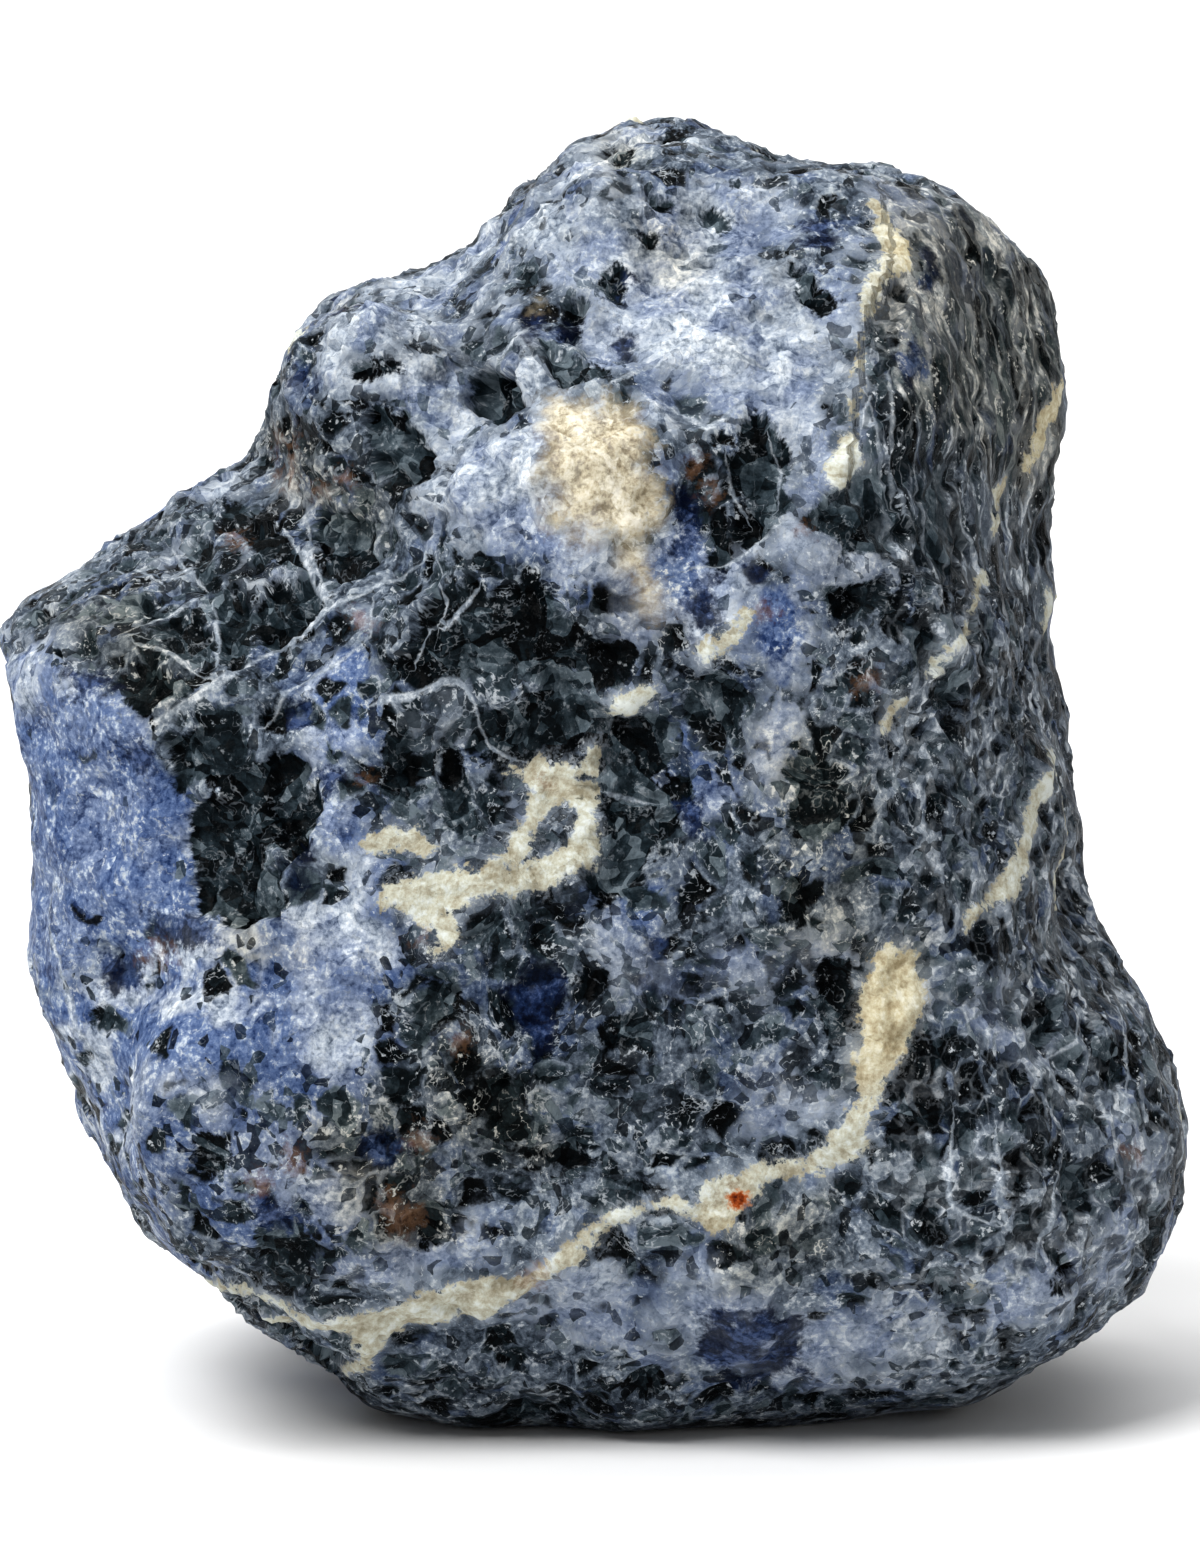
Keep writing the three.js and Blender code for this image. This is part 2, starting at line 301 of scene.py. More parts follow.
# %% Black patches, knob and brow
BLACK.update({
    "eye": (1.8, [(-8, 75.2), (-6.4, 74.8), (-5.5, 73.3), (-6.2, 72.2), (-7.5, 71.6), (-9.2, 72.4),
        (-8.9, 73.8)]),
    "hollow of the knob": (1.1, [(-16.8, 72.4), (-15, 72.2), (-12.8, 71.2), (-11.8, 69), (-12.2, 67),
        (-14, 66.4), (-15.4, 67.6), (-16.4, 69.4)]),
    "crack of the knob": (0.8, [(-17.6, 75.2), (-16, 75.9), (-13.8, 75.8), (-13.6, 74.9), (-16.6, 74.2),
        (-17.8, 74)]),
    "pocket in the brow": (0.9, [(-3.6, 76.2), (-1.2, 76.2), (0.8, 75.4), (0, 74.5), (-2.6, 74),
        (-3.6, 75)]),
    "crystals in the brow": (0.6, [(-2.7, 79.6), (-1, 80.5), (-0.5, 79.6), (-1.3, 78.3), (-2.6, 78.2)]),
    "edge of the crystals": (0.4, [(-0.6, 80.8), (1.2, 82.7), (2.4, 81.8), (1.2, 79.6)]),
    "below the crystals": (0.3, [(-3.2, 78), (-1.4, 78.2), (-1.6, 76.8), (-2.9, 76.6)]),
    "rhomb in the brow": (0.3, [(-5.9, 83.2), (-4.5, 82.6), (-4.6, 81.1), (-5.6, 80.6), (-6.1, 82)]),
    "pits in the brow": (0.7, [(7.3, 86.8), (8.3, 86.6), (9.3, 85.5), (8.4, 84.9), (7.5, 85.6)]),
    "second pit": (0.6, [(3.2, 87.3), (4.8, 87.2), (5.2, 86.5), (3.5, 86.4)]),
    "third pit": (0.6, [(2.7, 84.7), (4, 84.9), (4.3, 83.9), (3.4, 83.9)]),
    "fourth pit": (0.6, [(9.2, 88.7), (10.1, 88.6), (10.1, 87.7), (9.2, 87.7)]),
    "top of the stone": (0.3, [(4.5, 92.3), (6.5, 92.1), (6, 91.1), (4.5, 91.3)]),
    "brown pocket": (0.4, [(0.5, 91), (2.5, 91.2), (2.7, 90), (1.4, 89.4), (0.4, 90)]),
    "green patch": (0.3, [(12.9, 82.8), (14.8, 82.6), (15.8, 80.8), (17.2, 79.8), (16, 78.7),
        (14.2, 79.8)]),
    "black wedge": (0.6, [(19, 80.2), (21.6, 81.2), (22, 80), (21, 78.6), (20.6, 76.8), (19.6, 77.4)]),
    "under the wedge": (0.4, [(18.9, 75.4), (20, 75), (20.1, 71), (19.3, 71.4)]),
    "right face, column": (0.4, [(20.7, 69.4), (22, 69), (22, 66.8), (21, 66.6)]),
    "right face, second column": (0.35, [(24, 69), (25.2, 69.2), (25.4, 66.4), (24.2, 66)]),
    "right face, third column": (0.35, [(26.2, 73.6), (26.9, 73.4), (26.9, 67.4), (26, 67)]),
    "shoulder pit": (0.4, [(25.8, 83.6), (26.5, 83.4), (26.5, 81.5), (25.9, 81.9)]),
    "shoulder, second pit": (0.3, [(27.9, 83.4), (28.4, 83), (28.3, 80.8), (27.8, 81)]),
})
print("black patches with those of the brow:", len(BLACK))

# %% [markdown]
# The right face has upright columns of black, the toe below it is a web of black cells, and a few
# patches lie along the foot.

# %% Black patches, right face, toe and foot
BLACK.update({
    "under the brow": (0.7, [(9.1, 69.2), (9.6, 71.4), (11.2, 72), (12.9, 71), (13.4, 68), (13, 65),
        (11.5, 63), (10.2, 62.5), (9.8, 64), (10, 65.6), (9.2, 67)]),
    "under the brow, left": (0.4, [(7.6, 70.2), (9, 71), (9.2, 70), (8, 69.6)]),
    "left of the hollow": (0.4, [(7.8, 64.4), (8.8, 64.4), (9.4, 62.6), (8.8, 61), (7.8, 61)]),
    "pocket by the boss": (0.6, [(6.2, 68.6), (7, 68.4), (7.8, 66.8), (7.2, 66.4), (6.4, 67)]),
    "low under the brow": (0.5, [(7.4, 61.2), (8.2, 62.8), (9.2, 63.4), (9.4, 61.8), (8.4, 61)]),
    "under the vein's tail": (0.5, [(14.6, 64.6), (17, 67.4), (20, 68), (21.6, 65), (20.8, 61.8),
        (17.2, 62.4)]),
    "hollow on the right": (0.9, [(15, 60), (17, 59.6), (20.4, 60.6), (20.6, 58.6), (18, 57),
        (16.4, 57.4)]),
    "crystals by the boss": (0.5, [(5.6, 53.6), (8.8, 54), (10, 52.2), (9.6, 49.8), (8.6, 48.6),
        (6.8, 49.2), (5.4, 51.4)]),
    "side cell 1": (0.35, [(16.4, 53.6), (18.4, 54.2), (18.8, 52.6), (16.8, 51.8)]),
    "side cell 2": (0.35, [(20.8, 54.8), (22, 54.4), (22, 52.4), (20.8, 52.6)]),
    "side cell 3": (0.35, [(24, 50.4), (25.2, 50.8), (25.4, 48.6), (24.2, 48.2)]),
    "olive patch": (0.3, [(12.6, 47), (14.4, 48.2), (16.4, 47.6), (17.6, 45.6), (17.4, 43),
        (15.6, 41.4), (13.8, 42.4), (13.2, 44.6)]),
    "foot of the olive patch": (0.35, [(12.6, 39), (14, 39.4), (15, 37.4), (14.4, 35.6), (12.8, 36.2)]),
    "beside the big vein": (0.3, [(21.6, 28), (23, 28.6), (24.4, 26), (24, 22.6), (22.6, 20),
        (21, 18.6), (20, 20.6), (21, 24)]),
    "right face, fourth column": (0.3, [(22.5, 66), (24.5, 67), (26, 64), (25.6, 61), (24, 60),
        (22.8, 62.6)]),
    "right face, fifth column": (0.3, [(22.2, 57.6), (23.6, 58.4), (24.6, 55.4), (25.8, 53),
        (24.4, 51.2), (22.6, 53.6)]),
    "right face, wide column": (0.3, [(19.6, 59), (21.4, 59.6), (22, 57), (21.2, 55.4), (19.8, 56.4)]),
    "right face, slim column": (0.3, [(25.6, 58.4), (26.6, 58.2), (27, 55.8), (26, 55.4)]),
    "right face, low column": (0.3, [(26.6, 55), (27.8, 55), (28, 51), (27, 50.4)]),
    "toe 1": (0.4, [(30.6, 30.8), (32.2, 31), (32.4, 28.6), (31.4, 27.2), (30.4, 27.8), (30.2, 29.4)]),
    "toe 2": (0.4, [(25.4, 22.6), (26.3, 22.9), (26.6, 21.4), (26.3, 20.2), (25.3, 20.4)]),
    "toe 3": (0.4, [(29.4, 19.6), (30.6, 20.4), (32.4, 20.2), (32, 19), (30.6, 18.6), (30.2, 16.4),
        (29.2, 15.8), (28.6, 17.4)]),
    "toe 4": (0.5, [(33, 19.2), (34, 18.6), (34.9, 17), (34.4, 15.2), (33.8, 13.2), (32.8, 13.2),
        (32.4, 15.6), (32.6, 17.6)]),
    "toe 5": (0.35, [(23, 24.2), (23.7, 24.2), (24.4, 22.4), (23.8, 21.4), (22.8, 22.6)]),
    "toe 6": (0.35, [(25.3, 17.6), (26.2, 18.4), (27.4, 16.8), (26.7, 15.4), (25.5, 16.2)]),
    "toe 7": (0.35, [(31.4, 13.5), (32.2, 13.4), (34, 11.4), (32.6, 11.1), (31.6, 12)]),
    "toe 8": (0.3, [(32, 10.9), (33.1, 10.4), (32.6, 9.5), (31.8, 10)]),
    "toe 9": (0.35, [(21.3, 17.3), (22.7, 17), (22.4, 15.5), (21.1, 15.8)]),
    "toe 10": (0.3, [(20.5, 21.5), (21.5, 21.7), (21.7, 19.9), (20.8, 19.5)]),
    "toe 11": (0.3, [(33.9, 22.9), (35.7, 22.8), (35.2, 21.7), (34.1, 21.8)]),
    "toe 12": (0.35, [(34.2, 27.6), (36, 28), (37, 26.4), (36.6, 24.4), (35.5, 24.6), (34.6, 26)]),
    "toe 13": (0.3, [(29.3, 25.7), (30.3, 25.7), (30.4, 24.5), (29.5, 24.3)]),
    "toe 14": (0.3, [(29.3, 22.6), (30.3, 22.7), (30.1, 21.1), (29.2, 21.1)]),
    "toe 15": (0.35, [(22.1, 26.9), (24, 27.7), (24.1, 26), (22.6, 25.1)]),
    "toe 16": (0.3, [(34.3, 30.5), (35.3, 30), (35.3, 28.5), (34.4, 28.3)]),
    "toe 17": (0.3, [(28.2, 7.2), (29.1, 7.3), (29.1, 5.1), (28.2, 5)]),
    "toe 18": (0.3, [(24.5, 5.7), (25.5, 5.4), (25.3, 4.1), (24.5, 4.1)]),
    "toe 19": (0.3, [(23.1, 11.7), (24.6, 12.3), (26.1, 11.8), (25.8, 9.9), (24.4, 9.3), (23.1, 10)]),
    "toe 20": (0.3, [(27, 27.2), (28, 27), (27.8, 25.8), (27, 25.8)]),
    "toe 21": (0.3, [(32, 26.8), (33.4, 26.6), (33, 25.6), (31.8, 25.8)]),
    "toe 22": (0.35, [(22.2, 20.4), (24, 20.8), (24.2, 16), (23, 14.8), (22, 17)]),
    "toe 23": (0.35, [(25.4, 19.6), (27.2, 19.6), (28, 17.4), (26.8, 16.6), (25.4, 17.8)]),
    "toe 24": (0.35, [(28.8, 16), (31, 16.6), (32.2, 14), (30.6, 13), (29, 14)]),
    "toe 25": (0.3, [(38.4, 15.6), (40.6, 16.6), (42, 13.6), (40.8, 11), (38.8, 11.4)]),
    "low wedge": (0.35, [(-24.4, 14.6), (-21, 15.6), (-20, 13), (-20.4, 10.4), (-22, 9.6), (-24, 12)]),
    "under the vein, left": (0.35, [(-26, 9.6), (-22.6, 8.4), (-18.4, 5.4), (-18.6, 4), (-20.6, 5.4),
        (-25.4, 8.6)]),
    "low spot": (0.35, [(-13.2, 15.6), (-11.4, 15.2), (-11, 13.4), (-12.6, 12.8)]),
    "left pair": (0.35, [(-28.6, 21), (-26.4, 21), (-25.8, 19), (-27.4, 17.4), (-29.2, 18.2)]),
    "left nick": (0.35, [(-36, 30), (-34.6, 30.4), (-34.8, 29.4), (-35.8, 28.8)]),
    "foot": (0.35, [(1.4, 4.2), (4, 4.6), (5.2, 3.4), (3.6, 2.6), (1.6, 3)]),
    "foot, line": (0.3, [(-10, 1), (-6, 1.6), (-1, 2.6), (-3, 1), (-8, 0.2)]),
    "brown hollow": (0.5, [(-13, 16), (-11, 16.4), (-10.9, 14), (-12.4, 13.6)]),
})
print("black patches in all:", len(BLACK))

# %% [markdown]
# A small patch would be eaten by the noise that makes a large one ragged. So the patch that is
# nearest to a point gives it a depth and also a share of fraying that grows with the patch.

# %% Depth and fraying of the black patches
RAGGED_ABOVE = 7
LEAST_FRAYING = 0.2


def span(outline):
    """The side of a square as large as the outline."""
    x, y = np.array(outline, float).T
    return math.sqrt(abs(x @ np.roll(y, 1) - y @ np.roll(x, 1)) / 2)


black_mm = np.full(count, np.inf)
black_deep = np.zeros(count)
black_fray = np.zeros(count)
for deepness, outline in BLACK.values():
    away = outline_distance(outline, across, up)
    closer = away < black_mm
    black_mm[closer] = away[closer]
    black_deep[closer] = deepness
    black_fray[closer] = min(1, max(LEAST_FRAYING, span(outline) / RAGGED_ABOVE))
print("points in black patches:", int((black_mm < 0).sum()))

# %% [markdown]
# ## Areas of blue, white and grey
# Over whole areas the rock is bluer, whiter or darker. These are soft outlines with no edge of
# their own: each fades over a few millimetres. The left face is the clearest blue, and single
# crystals are so deep a blue that they look nearly black.

# %% Blue areas and deep blue crystals
BLUE = {
    "blue face": [(-44.6, 54.6), (-36, 55), (-33, 53.4), (-31.4, 50), (-30.6, 47), (-28.6, 44.6),
        (-29, 40.6), (-29.8, 37.6), (-33, 33), (-41, 31), (-46, 40), (-47, 47)],
    "foot of the blue face": [(-38, 33), (-29, 36), (-23, 37), (-17, 41), (-13.6, 36), (-12.6, 32.6),
        (-16.4, 31), (-16.6, 28.4), (-14, 26.6), (-17.4, 23), (-20, 21), (-17.6, 18), (-17, 15),
        (-20.4, 13.4), (-25, 14.4), (-29, 16.6), (-33, 14), (-40, 17), (-43, 27)],
    "blue band": [(-19.8, 53.6), (-17, 57), (-16.4, 55), (-17, 50), (-17.6, 45), (-17.6, 40), (-20, 40),
        (-20, 46)],
    "blue cell": [(-4, 62.4), (-2, 62.8), (-1, 61.4), (-1.6, 60.2), (-3.6, 60.2)],
    "blade": [(6.6, 47.2), (8.6, 46.6), (9.2, 45.4), (7.6, 42), (5.8, 39), (3.2, 36.6), (2.6, 37.2),
        (5.4, 43.6)],
    "pale crystal": [(8, 57.6), (9.6, 58.4), (10.4, 57.4), (8.4, 55.6), (7.2, 55.4)],
    "cell under the boss": [(-4.4, 63.6), (-1.6, 63.6), (-1, 61), (-3.8, 60.6)],
    "streak in the slate band": [(12.2, 59), (13.6, 59), (13.9, 54.6), (13.4, 51), (12.2, 49.4),
        (11.8, 53)],
    "face by the boss": [(3.6, 68.6), (4.8, 68.8), (6, 67.4), (7.3, 65.8), (7.2, 62.6), (6.2, 61),
        (4.8, 60.8), (4.5, 64)],
    "corner under the brow": [(12.6, 70.8), (14.2, 70.8), (14, 69.2), (12.8, 69.2)],
}
DEEP = {
    "in the band": [(-19.6, 46.8), (-18.4, 46.8), (-18.6, 44.6), (-19.4, 44.6)],
    "under the broken patch": [(-22.6, 40.4), (-20.4, 41), (-20.2, 38.6), (-21.8, 37.4)],
    "beside the boss": [(4.4, 66.4), (6, 66.2), (7.2, 65.8), (6.9, 63.2), (6.2, 61.3), (5.5, 61.6),
        (6.1, 63.6), (5.8, 64.8)],
    "below the boss": [(6.6, 59.8), (8.4, 60.2), (8, 57.8), (6.9, 55.4), (6.2, 57)],
    "right of it": [(10.6, 61.2), (12, 61.2), (11.8, 60), (10.8, 60)],
    "shoulder": [(21.1, 76.4), (22.2, 77), (22.7, 75.6), (22, 74), (21.2, 75)],
    "side of the shoulder": [(23, 83.4), (23.7, 83), (23.3, 80.6), (22.7, 81)],
    "right in the brow": [(14.2, 85.6), (16, 85.8), (16.6, 83.8), (15, 82.8)],
    "in the blade": [(5.4, 44.2), (7.2, 44.4), (6.6, 42.8)],
    "navy patch": [(-6.4, 31.2), (-4.6, 33), (-3, 32.6), (-2.8, 30.4), (-3.4, 28.4), (-4.2, 26.8),
        (-5.6, 28)],
    "right of the navy patch": [(2.8, 34), (4.4, 34.6), (5.2, 32), (4, 31), (2.8, 32.2)],
    "under the foot": [(7, 6.6), (8.6, 8.6), (12, 8.6), (15, 7), (14.6, 4), (10.4, 3), (7.6, 4.2)],
    "navy cell": [(-17, 21), (-15, 21.2), (-13.7, 20.2), (-14.6, 19), (-16.4, 19.4)],
    "low left": [(-24.4, 16.2), (-21.6, 16.6), (-21, 15), (-23.4, 14.2)],
    "edge of the knob": [(-22, 76), (-20.6, 75.6), (-20.8, 73.6), (-21.8, 73.8)],
    "in the brow": [(0.3, 80), (1.6, 81.9), (2.2, 81.4), (1.2, 79.8)],
    "low in the brow": [(-3.2, 78), (-1.4, 78.2), (-1.6, 76.8), (-2.9, 76.6)],
    "left in the brow": [(-5.7, 77.5), (-4.3, 78.3), (-4.2, 76.8), (-5.2, 76.4)],
    "spot in the brow": [(1.3, 77.5), (2.5, 77.6), (2.6, 76.5), (1.7, 76.4)],
    "in the spot over the band": [(-22.6, 51), (-20.4, 51.8), (-20, 50.4), (-22, 50)],
    "corner of the face": [(-37.4, 53.4), (-34, 54.4), (-33.6, 52.6), (-36.6, 51.6)],
    "foot of the face": [(-31.4, 36.8), (-28, 36.6), (-26.8, 34.6), (-29.6, 33.8), (-31.6, 34.8)],
    "low in the face": [(-35, 33.6), (-32.4, 33.6), (-31.8, 31.4), (-34.4, 30.8)],
    "dent in the face": [(-33.8, 48.6), (-31.6, 48.8), (-31.4, 47.2), (-33.2, 46.8)],
}
blue_mm = patches(BLUE.values())
deep_mm = patches(DEEP.values())
print("blue areas:", len(BLUE), " deep blue crystals:", len(DEEP))

# %% [markdown]
# White feldspar covers the brow, the knob and the foot of the blue face. Along the crest and the
# cheek's crest the white is partly a painted highlight on the upper edge. Where it is thinner, or
# mixed with dark grains, the rock is slate grey.

# %% White and slate areas
PALE = {
    "brow": [(-3, 85), (2, 89), (8, 88.4), (11.6, 85.4), (12.4, 81.4), (15.4, 79), (16, 75), (13, 73),
        (8, 73), (3, 75), (1, 80)],
    "left of the pits": [(-3.4, 86.2), (-0.6, 89.4), (3.6, 90), (4.6, 87), (1.6, 83), (-1.4, 84)],
    "above the boss": [(0.8, 74.8), (5, 74.8), (5.8, 72), (4, 71.2), (2.6, 73.2)],
    "top of the knob": [(-20.6, 76.6), (-18, 79.6), (-14, 80), (-11.6, 78.4), (-14.4, 76.4),
        (-18, 75.6)],
    "side of the knob": [(-21.6, 74.8), (-19, 76.6), (-16.8, 75.4), (-17.4, 73), (-20.4, 72.2)],
    "bloom": [(-12, 72), (-8, 72), (-3.6, 72), (-3.8, 65.4), (-7, 64), (-10, 64.4), (-11, 66)],
    "under the boss": [(-3, 64), (0, 64), (1, 61), (-1, 60.6), (-3, 61.6)],
    "streak under the brow": [(9.2, 61), (10.6, 61.6), (11.6, 63.8), (13, 64.2), (13.2, 61.8),
        (11.8, 61.4)],
    "top of the brow": [(5, 78.6), (10, 79.4), (16, 77.6), (17, 74), (13.6, 75.4), (9, 76.2),
        (4.6, 76)],
    "specks in the striped patch": [(-12.9, 50.6), (-10.4, 51), (-9.4, 49.8), (-10, 48.9),
        (-12.6, 49.3)],
    "rim of the eye, left": [(-14.4, 74.6), (-11, 74.8), (-10.2, 72.6), (-13.6, 71.8)],
    "rim of the eye, right": [(-6, 77), (-4.2, 76.6), (-3.8, 73), (-5.4, 71.8), (-5, 74)],
    # Partly painted highlight: the white band along the top crest of the knob and brow.
    "crest": [(-20.8, 77.4), (-18.8, 80.4), (-14, 81.4), (-11.4, 83.2), (-9.8, 85.2), (-5.6, 87.4),
        (-1.6, 90.6), (2.4, 93), (4.4, 91.6), (0.6, 87.4), (-4.4, 84), (-8, 81), (-12, 78),
        (-17, 76.4)],
    "corner of the face": [(-44, 57.4), (-40.6, 56.6), (-37.6, 55), (-37, 52.6), (-41.6, 51.4)],
    "white foot": [(-24.2, 36.4), (-20.2, 40.4), (-17.6, 39.8), (-16, 36), (-17.4, 31.8), (-21, 31.8)],
    "white foot, low": [(-22, 31), (-17, 30), (-17, 26), (-20.4, 26)],
    "flecks_and_glints": [(-31, 25.4), (-26, 25), (-27, 23), (-30, 23.2)],
    "shoulder of the right face": [(24, 80.2), (26, 79.8), (26, 77.8), (24.4, 78.8)],
    "lavender": [(-20.2, 17.6), (-17.8, 17.6), (-17.6, 15), (-19.2, 13.6), (-20.4, 15.4)],
    "low pale": [(19.8, 10.4), (22.6, 10.4), (23.2, 8.2), (21, 7.8), (19.4, 8.8)],
    "lavender square": [(-1.6, 12.3), (1.1, 12.5), (1.2, 10.9), (-2, 10.6)],
    "cheek, wedge": [(-25, 60.3), (-22, 60.6), (-22.2, 60), (-24.6, 59.2)],
    # Partly painted highlight: pale along the upper edge of the cheek.
    "cheek, crest": [(-27, 67.5), (-23, 66.6), (-21, 65.2), (-21.8, 66.2), (-24.6, 67.6), (-27, 68.2)],
    "cheek, middle": [(-31, 62.4), (-29.6, 61.6), (-28.4, 60), (-29.6, 59.2), (-31.6, 60.4)],
}
SLATE = {
    "bloom below the eye": [(-11, 70), (-8, 70.6), (-4.6, 69), (-5, 64.6), (-8, 63.6), (-10.8, 64.4)],
    "brow": [(0, 84), (8, 80), (16, 79), (17, 75), (9, 72), (3, 74), (-1, 77)],
    "brow, right": [(9, 88.4), (13, 88), (14.6, 84.6), (13.4, 82), (11.4, 84)],
    "brow, far right": [(15, 81), (18, 82), (18, 78), (15.6, 78)],
    "streak over the big vein": [(3.6, 32), (7, 33.6), (12, 35), (17, 35.6), (17.4, 33), (13, 30.4),
        (8, 29.2), (4, 29.2)],
    "over the elbow": [(10.4, 26.6), (14, 27), (15.2, 23.4), (12.8, 21.8), (10.6, 23)],
    "shoulder, top": [(23.8, 84.6), (27.4, 84), (28.2, 80), (26, 79.4), (24, 81)],
    "slate band": [(8.4, 60), (11, 61), (14.6, 60), (14.8, 55), (15, 51.4), (14, 49.2), (12, 47.6),
        (10.8, 49.4), (10.6, 54)],
    "below the boss": [(-1, 63), (4.4, 63), (7, 57), (4, 54), (2.4, 56), (-0.4, 59)],
    "under the brow": [(13.4, 72), (16, 71), (17, 66), (14, 61), (11.6, 60), (13, 64), (13.8, 68)],
    "toe": [(36, 24), (37.6, 24.6), (38.6, 22.4), (38.4, 18), (36.8, 13.6), (35, 10), (35, 12),
        (36.2, 16), (35.8, 20)],
    "toe, top": [(26, 31), (27.2, 31.2), (28.4, 29), (30, 28.4), (30.2, 26.2), (28.6, 26.4), (27, 29)],
    "toe, low": [(28.4, 13), (31, 13), (31.4, 10), (30, 8), (27, 8), (27, 10.6)],
    "low slate": [(0, 35.4), (2, 35.6), (2.6, 33), (1.6, 31.6), (0, 33.4)],
    "wedge by the blade": [(3.8, 46.2), (5.2, 47.4), (6, 46.6), (4.8, 45.4)],
    "shoulder of the right face, top": [(20, 88), (25, 87.4), (28.4, 85), (27.4, 83.6), (24.6, 85.2),
        (22, 86.4)],
    "shoulder crystal": [(21.4, 79.4), (24, 80.6), (26, 79), (25.8, 76), (23.6, 75.4), (21.8, 77)],
    "crystal on the right face": [(23.2, 73.6), (24.8, 73.4), (24.8, 71.8), (23.4, 71.8)],
    "right face, middle": [(29, 71.6), (30.6, 71.4), (30.4, 69), (29, 68.6)],
    "side of the brow": [(13, 66.8), (16.8, 68), (16.2, 65.4), (14.4, 62.6), (13, 63.8)],
    "crystal under the tail": [(15.6, 62.2), (16.8, 63), (18.8, 62.4), (19.2, 60.2), (17.2, 59.2),
        (15.8, 60.4)],
    "facet of the brow": [(-4.9, 84.8), (-3.2, 83.5), (-1.6, 82.8), (0.4, 82.8), (1.4, 82), (0.2, 80),
        (-1.2, 80.6), (-2.6, 81.3), (-3.8, 82.8)],
    "slate in the heart": [(-9.4, 47.6), (-7, 47.8), (-5.8, 45.4), (-4.6, 43.2), (-6.4, 42.6),
        (-8, 44.6)],
    "left of the low vein": [(-18, 12.4), (-13, 13), (-8, 16), (-6, 14), (-8, 11.6), (-13, 11),
        (-18, 10.4)],
    "low blue": [(-2, 12), (6, 10), (15, 8.6), (26, 8), (25, 4), (14, 3), (0, 6), (-6, 9)],
}
pale_mm = patches(PALE.values())
slate_mm = patches(SLATE.values())
print("white areas:", len(PALE), " slate areas:", len(SLATE))

# %% [markdown]
# Gloomy areas hold more dark grains and their colour is darkened; under the brow, along the
# underside, behind the crest and on the right face that darkening is painted shade. Warm ones are
# stained a little by iron. Where the rock is netted, pale lines run between the grains, and the
# right face is streaked upright.

# %% Gloomy, warm, netted and streaked areas
GLOOM_AND_SHADE = {
    "knob front": [(-14.6, 76.6), (-9, 77.4), (-6.4, 77.6), (-3, 76), (-6, 75), (-12, 75), (-16, 75.6)],
    "behind the crest": [(-23, 78.6), (-19.6, 81.2), (-16, 82.2), (-13.4, 82.8), (-10.6, 85),
        (-7.2, 87.6), (-5.2, 90), (-2.2, 92), (1, 94), (0, 97), (-9, 92), (-14, 86), (-21, 85),
        (-25, 80)],
    "side of the knob": [(-24, 70), (-22, 72.4), (-19, 72), (-14, 71.6), (-12.6, 67), (-15, 65),
        (-21, 65.6)],
    "middle": [(-17, 56), (-13, 60), (-6, 62), (2, 58), (6, 55), (10, 54), (11, 47), (8, 38), (16, 35),
        (17, 30), (16, 24), (8, 20), (0, 18), (-8, 17.5), (-14, 19.5), (-16, 27), (-14, 33), (-16, 40),
        (-16, 48)],
    "right face": [(18.6, 86), (24, 87), (30, 86), (36, 76), (36, 66), (35, 50), (37, 38), (44, 30),
        (42, 22), (38, 20), (35, 10), (29, 12), (22, 14), (20, 20), (21, 34), (19, 48), (15, 50),
        (15, 58), (14, 66), (18, 69), (19, 78)],
    "left corner": [(-35, 18), (-32, 25), (-26, 26.6), (-20, 25.6), (-14, 26), (-12, 20), (-13, 13),
        (-19, 10), (-27, 8), (-34, 13)],
    "under the brow": [(7, 70), (10, 72), (13, 73), (14, 69), (12.6, 64), (10, 61), (7, 61), (6, 66)],
    "edge of the toe": [(38.4, 20), (40, 24), (45, 18), (42, 9), (36, 6), (37.4, 11), (39, 15)],
    "cheek": [(-40, 57), (-34, 60), (-31, 65), (-25, 66), (-20, 64), (-19.4, 58), (-26, 53), (-31, 50),
        (-34, 53)],
    "under": [(-24, 7), (-12, 4.6), (0, 3.4), (8, 2.6), (16, 2.6), (26, 3), (36, 8), (36, -4),
        (-30, -4)],
}
WARM = {
    "cheek": [(-39, 58), (-33, 59.6), (-31, 56), (-28, 53), (-32, 50), (-34, 53)],
    "notch": [(-24, 72), (-21, 71.4), (-18, 66.6), (-15, 67), (-15, 63), (-20, 64.6), (-22.6, 66)],
    "brown hollow": [(-21, 22), (-15, 24), (-11, 20), (-10, 14), (-14, 12.6), (-18, 14)],
    "brown pocket": [(0.2, 91.4), (2.8, 91.6), (3, 89.8), (1.4, 89), (0, 90)],
    "left foot": [(-28, 37), (-22, 36), (-20, 33), (-26, 32)],
    "olive patch": [(11, 50), (17, 50), (19.6, 44), (19, 34), (13, 34), (11.6, 42)],
    "right face": [(20, 88), (30, 86), (36, 76), (35, 68), (30, 66), (26, 70), (21, 72), (20, 78)],
    "brow": [(3, 85.6), (6, 85.6), (7, 82), (5, 80.4), (3, 82)],
    "big vein": [(18, 35), (23, 35), (22, 26), (17, 24)],
    "under the triangle": [(8, 15), (16, 17), (17, 12), (9, 10)],
    "under the boss": [(1, 64), (6, 61), (5, 56), (0, 58)],
    "middle": [(-12, 30), (-4, 24), (-3, 19), (-12, 20)],
}
WEB = {
    "toe": [(22, 36), (34, 37), (41, 29), (44, 14), (38, 4), (26, 2), (20, 6), (20, 20), (21, 28)],
    "right face, low": [(20, 58), (30, 58), (33, 52), (35, 42), (38, 34), (30, 32), (24, 36), (20, 44)],
    "behind the crest": [(-22, 80.6), (-13.4, 82.8), (-7.2, 87.6), (-1, 93), (-2, 97), (-12, 91),
        (-24, 84)],
}
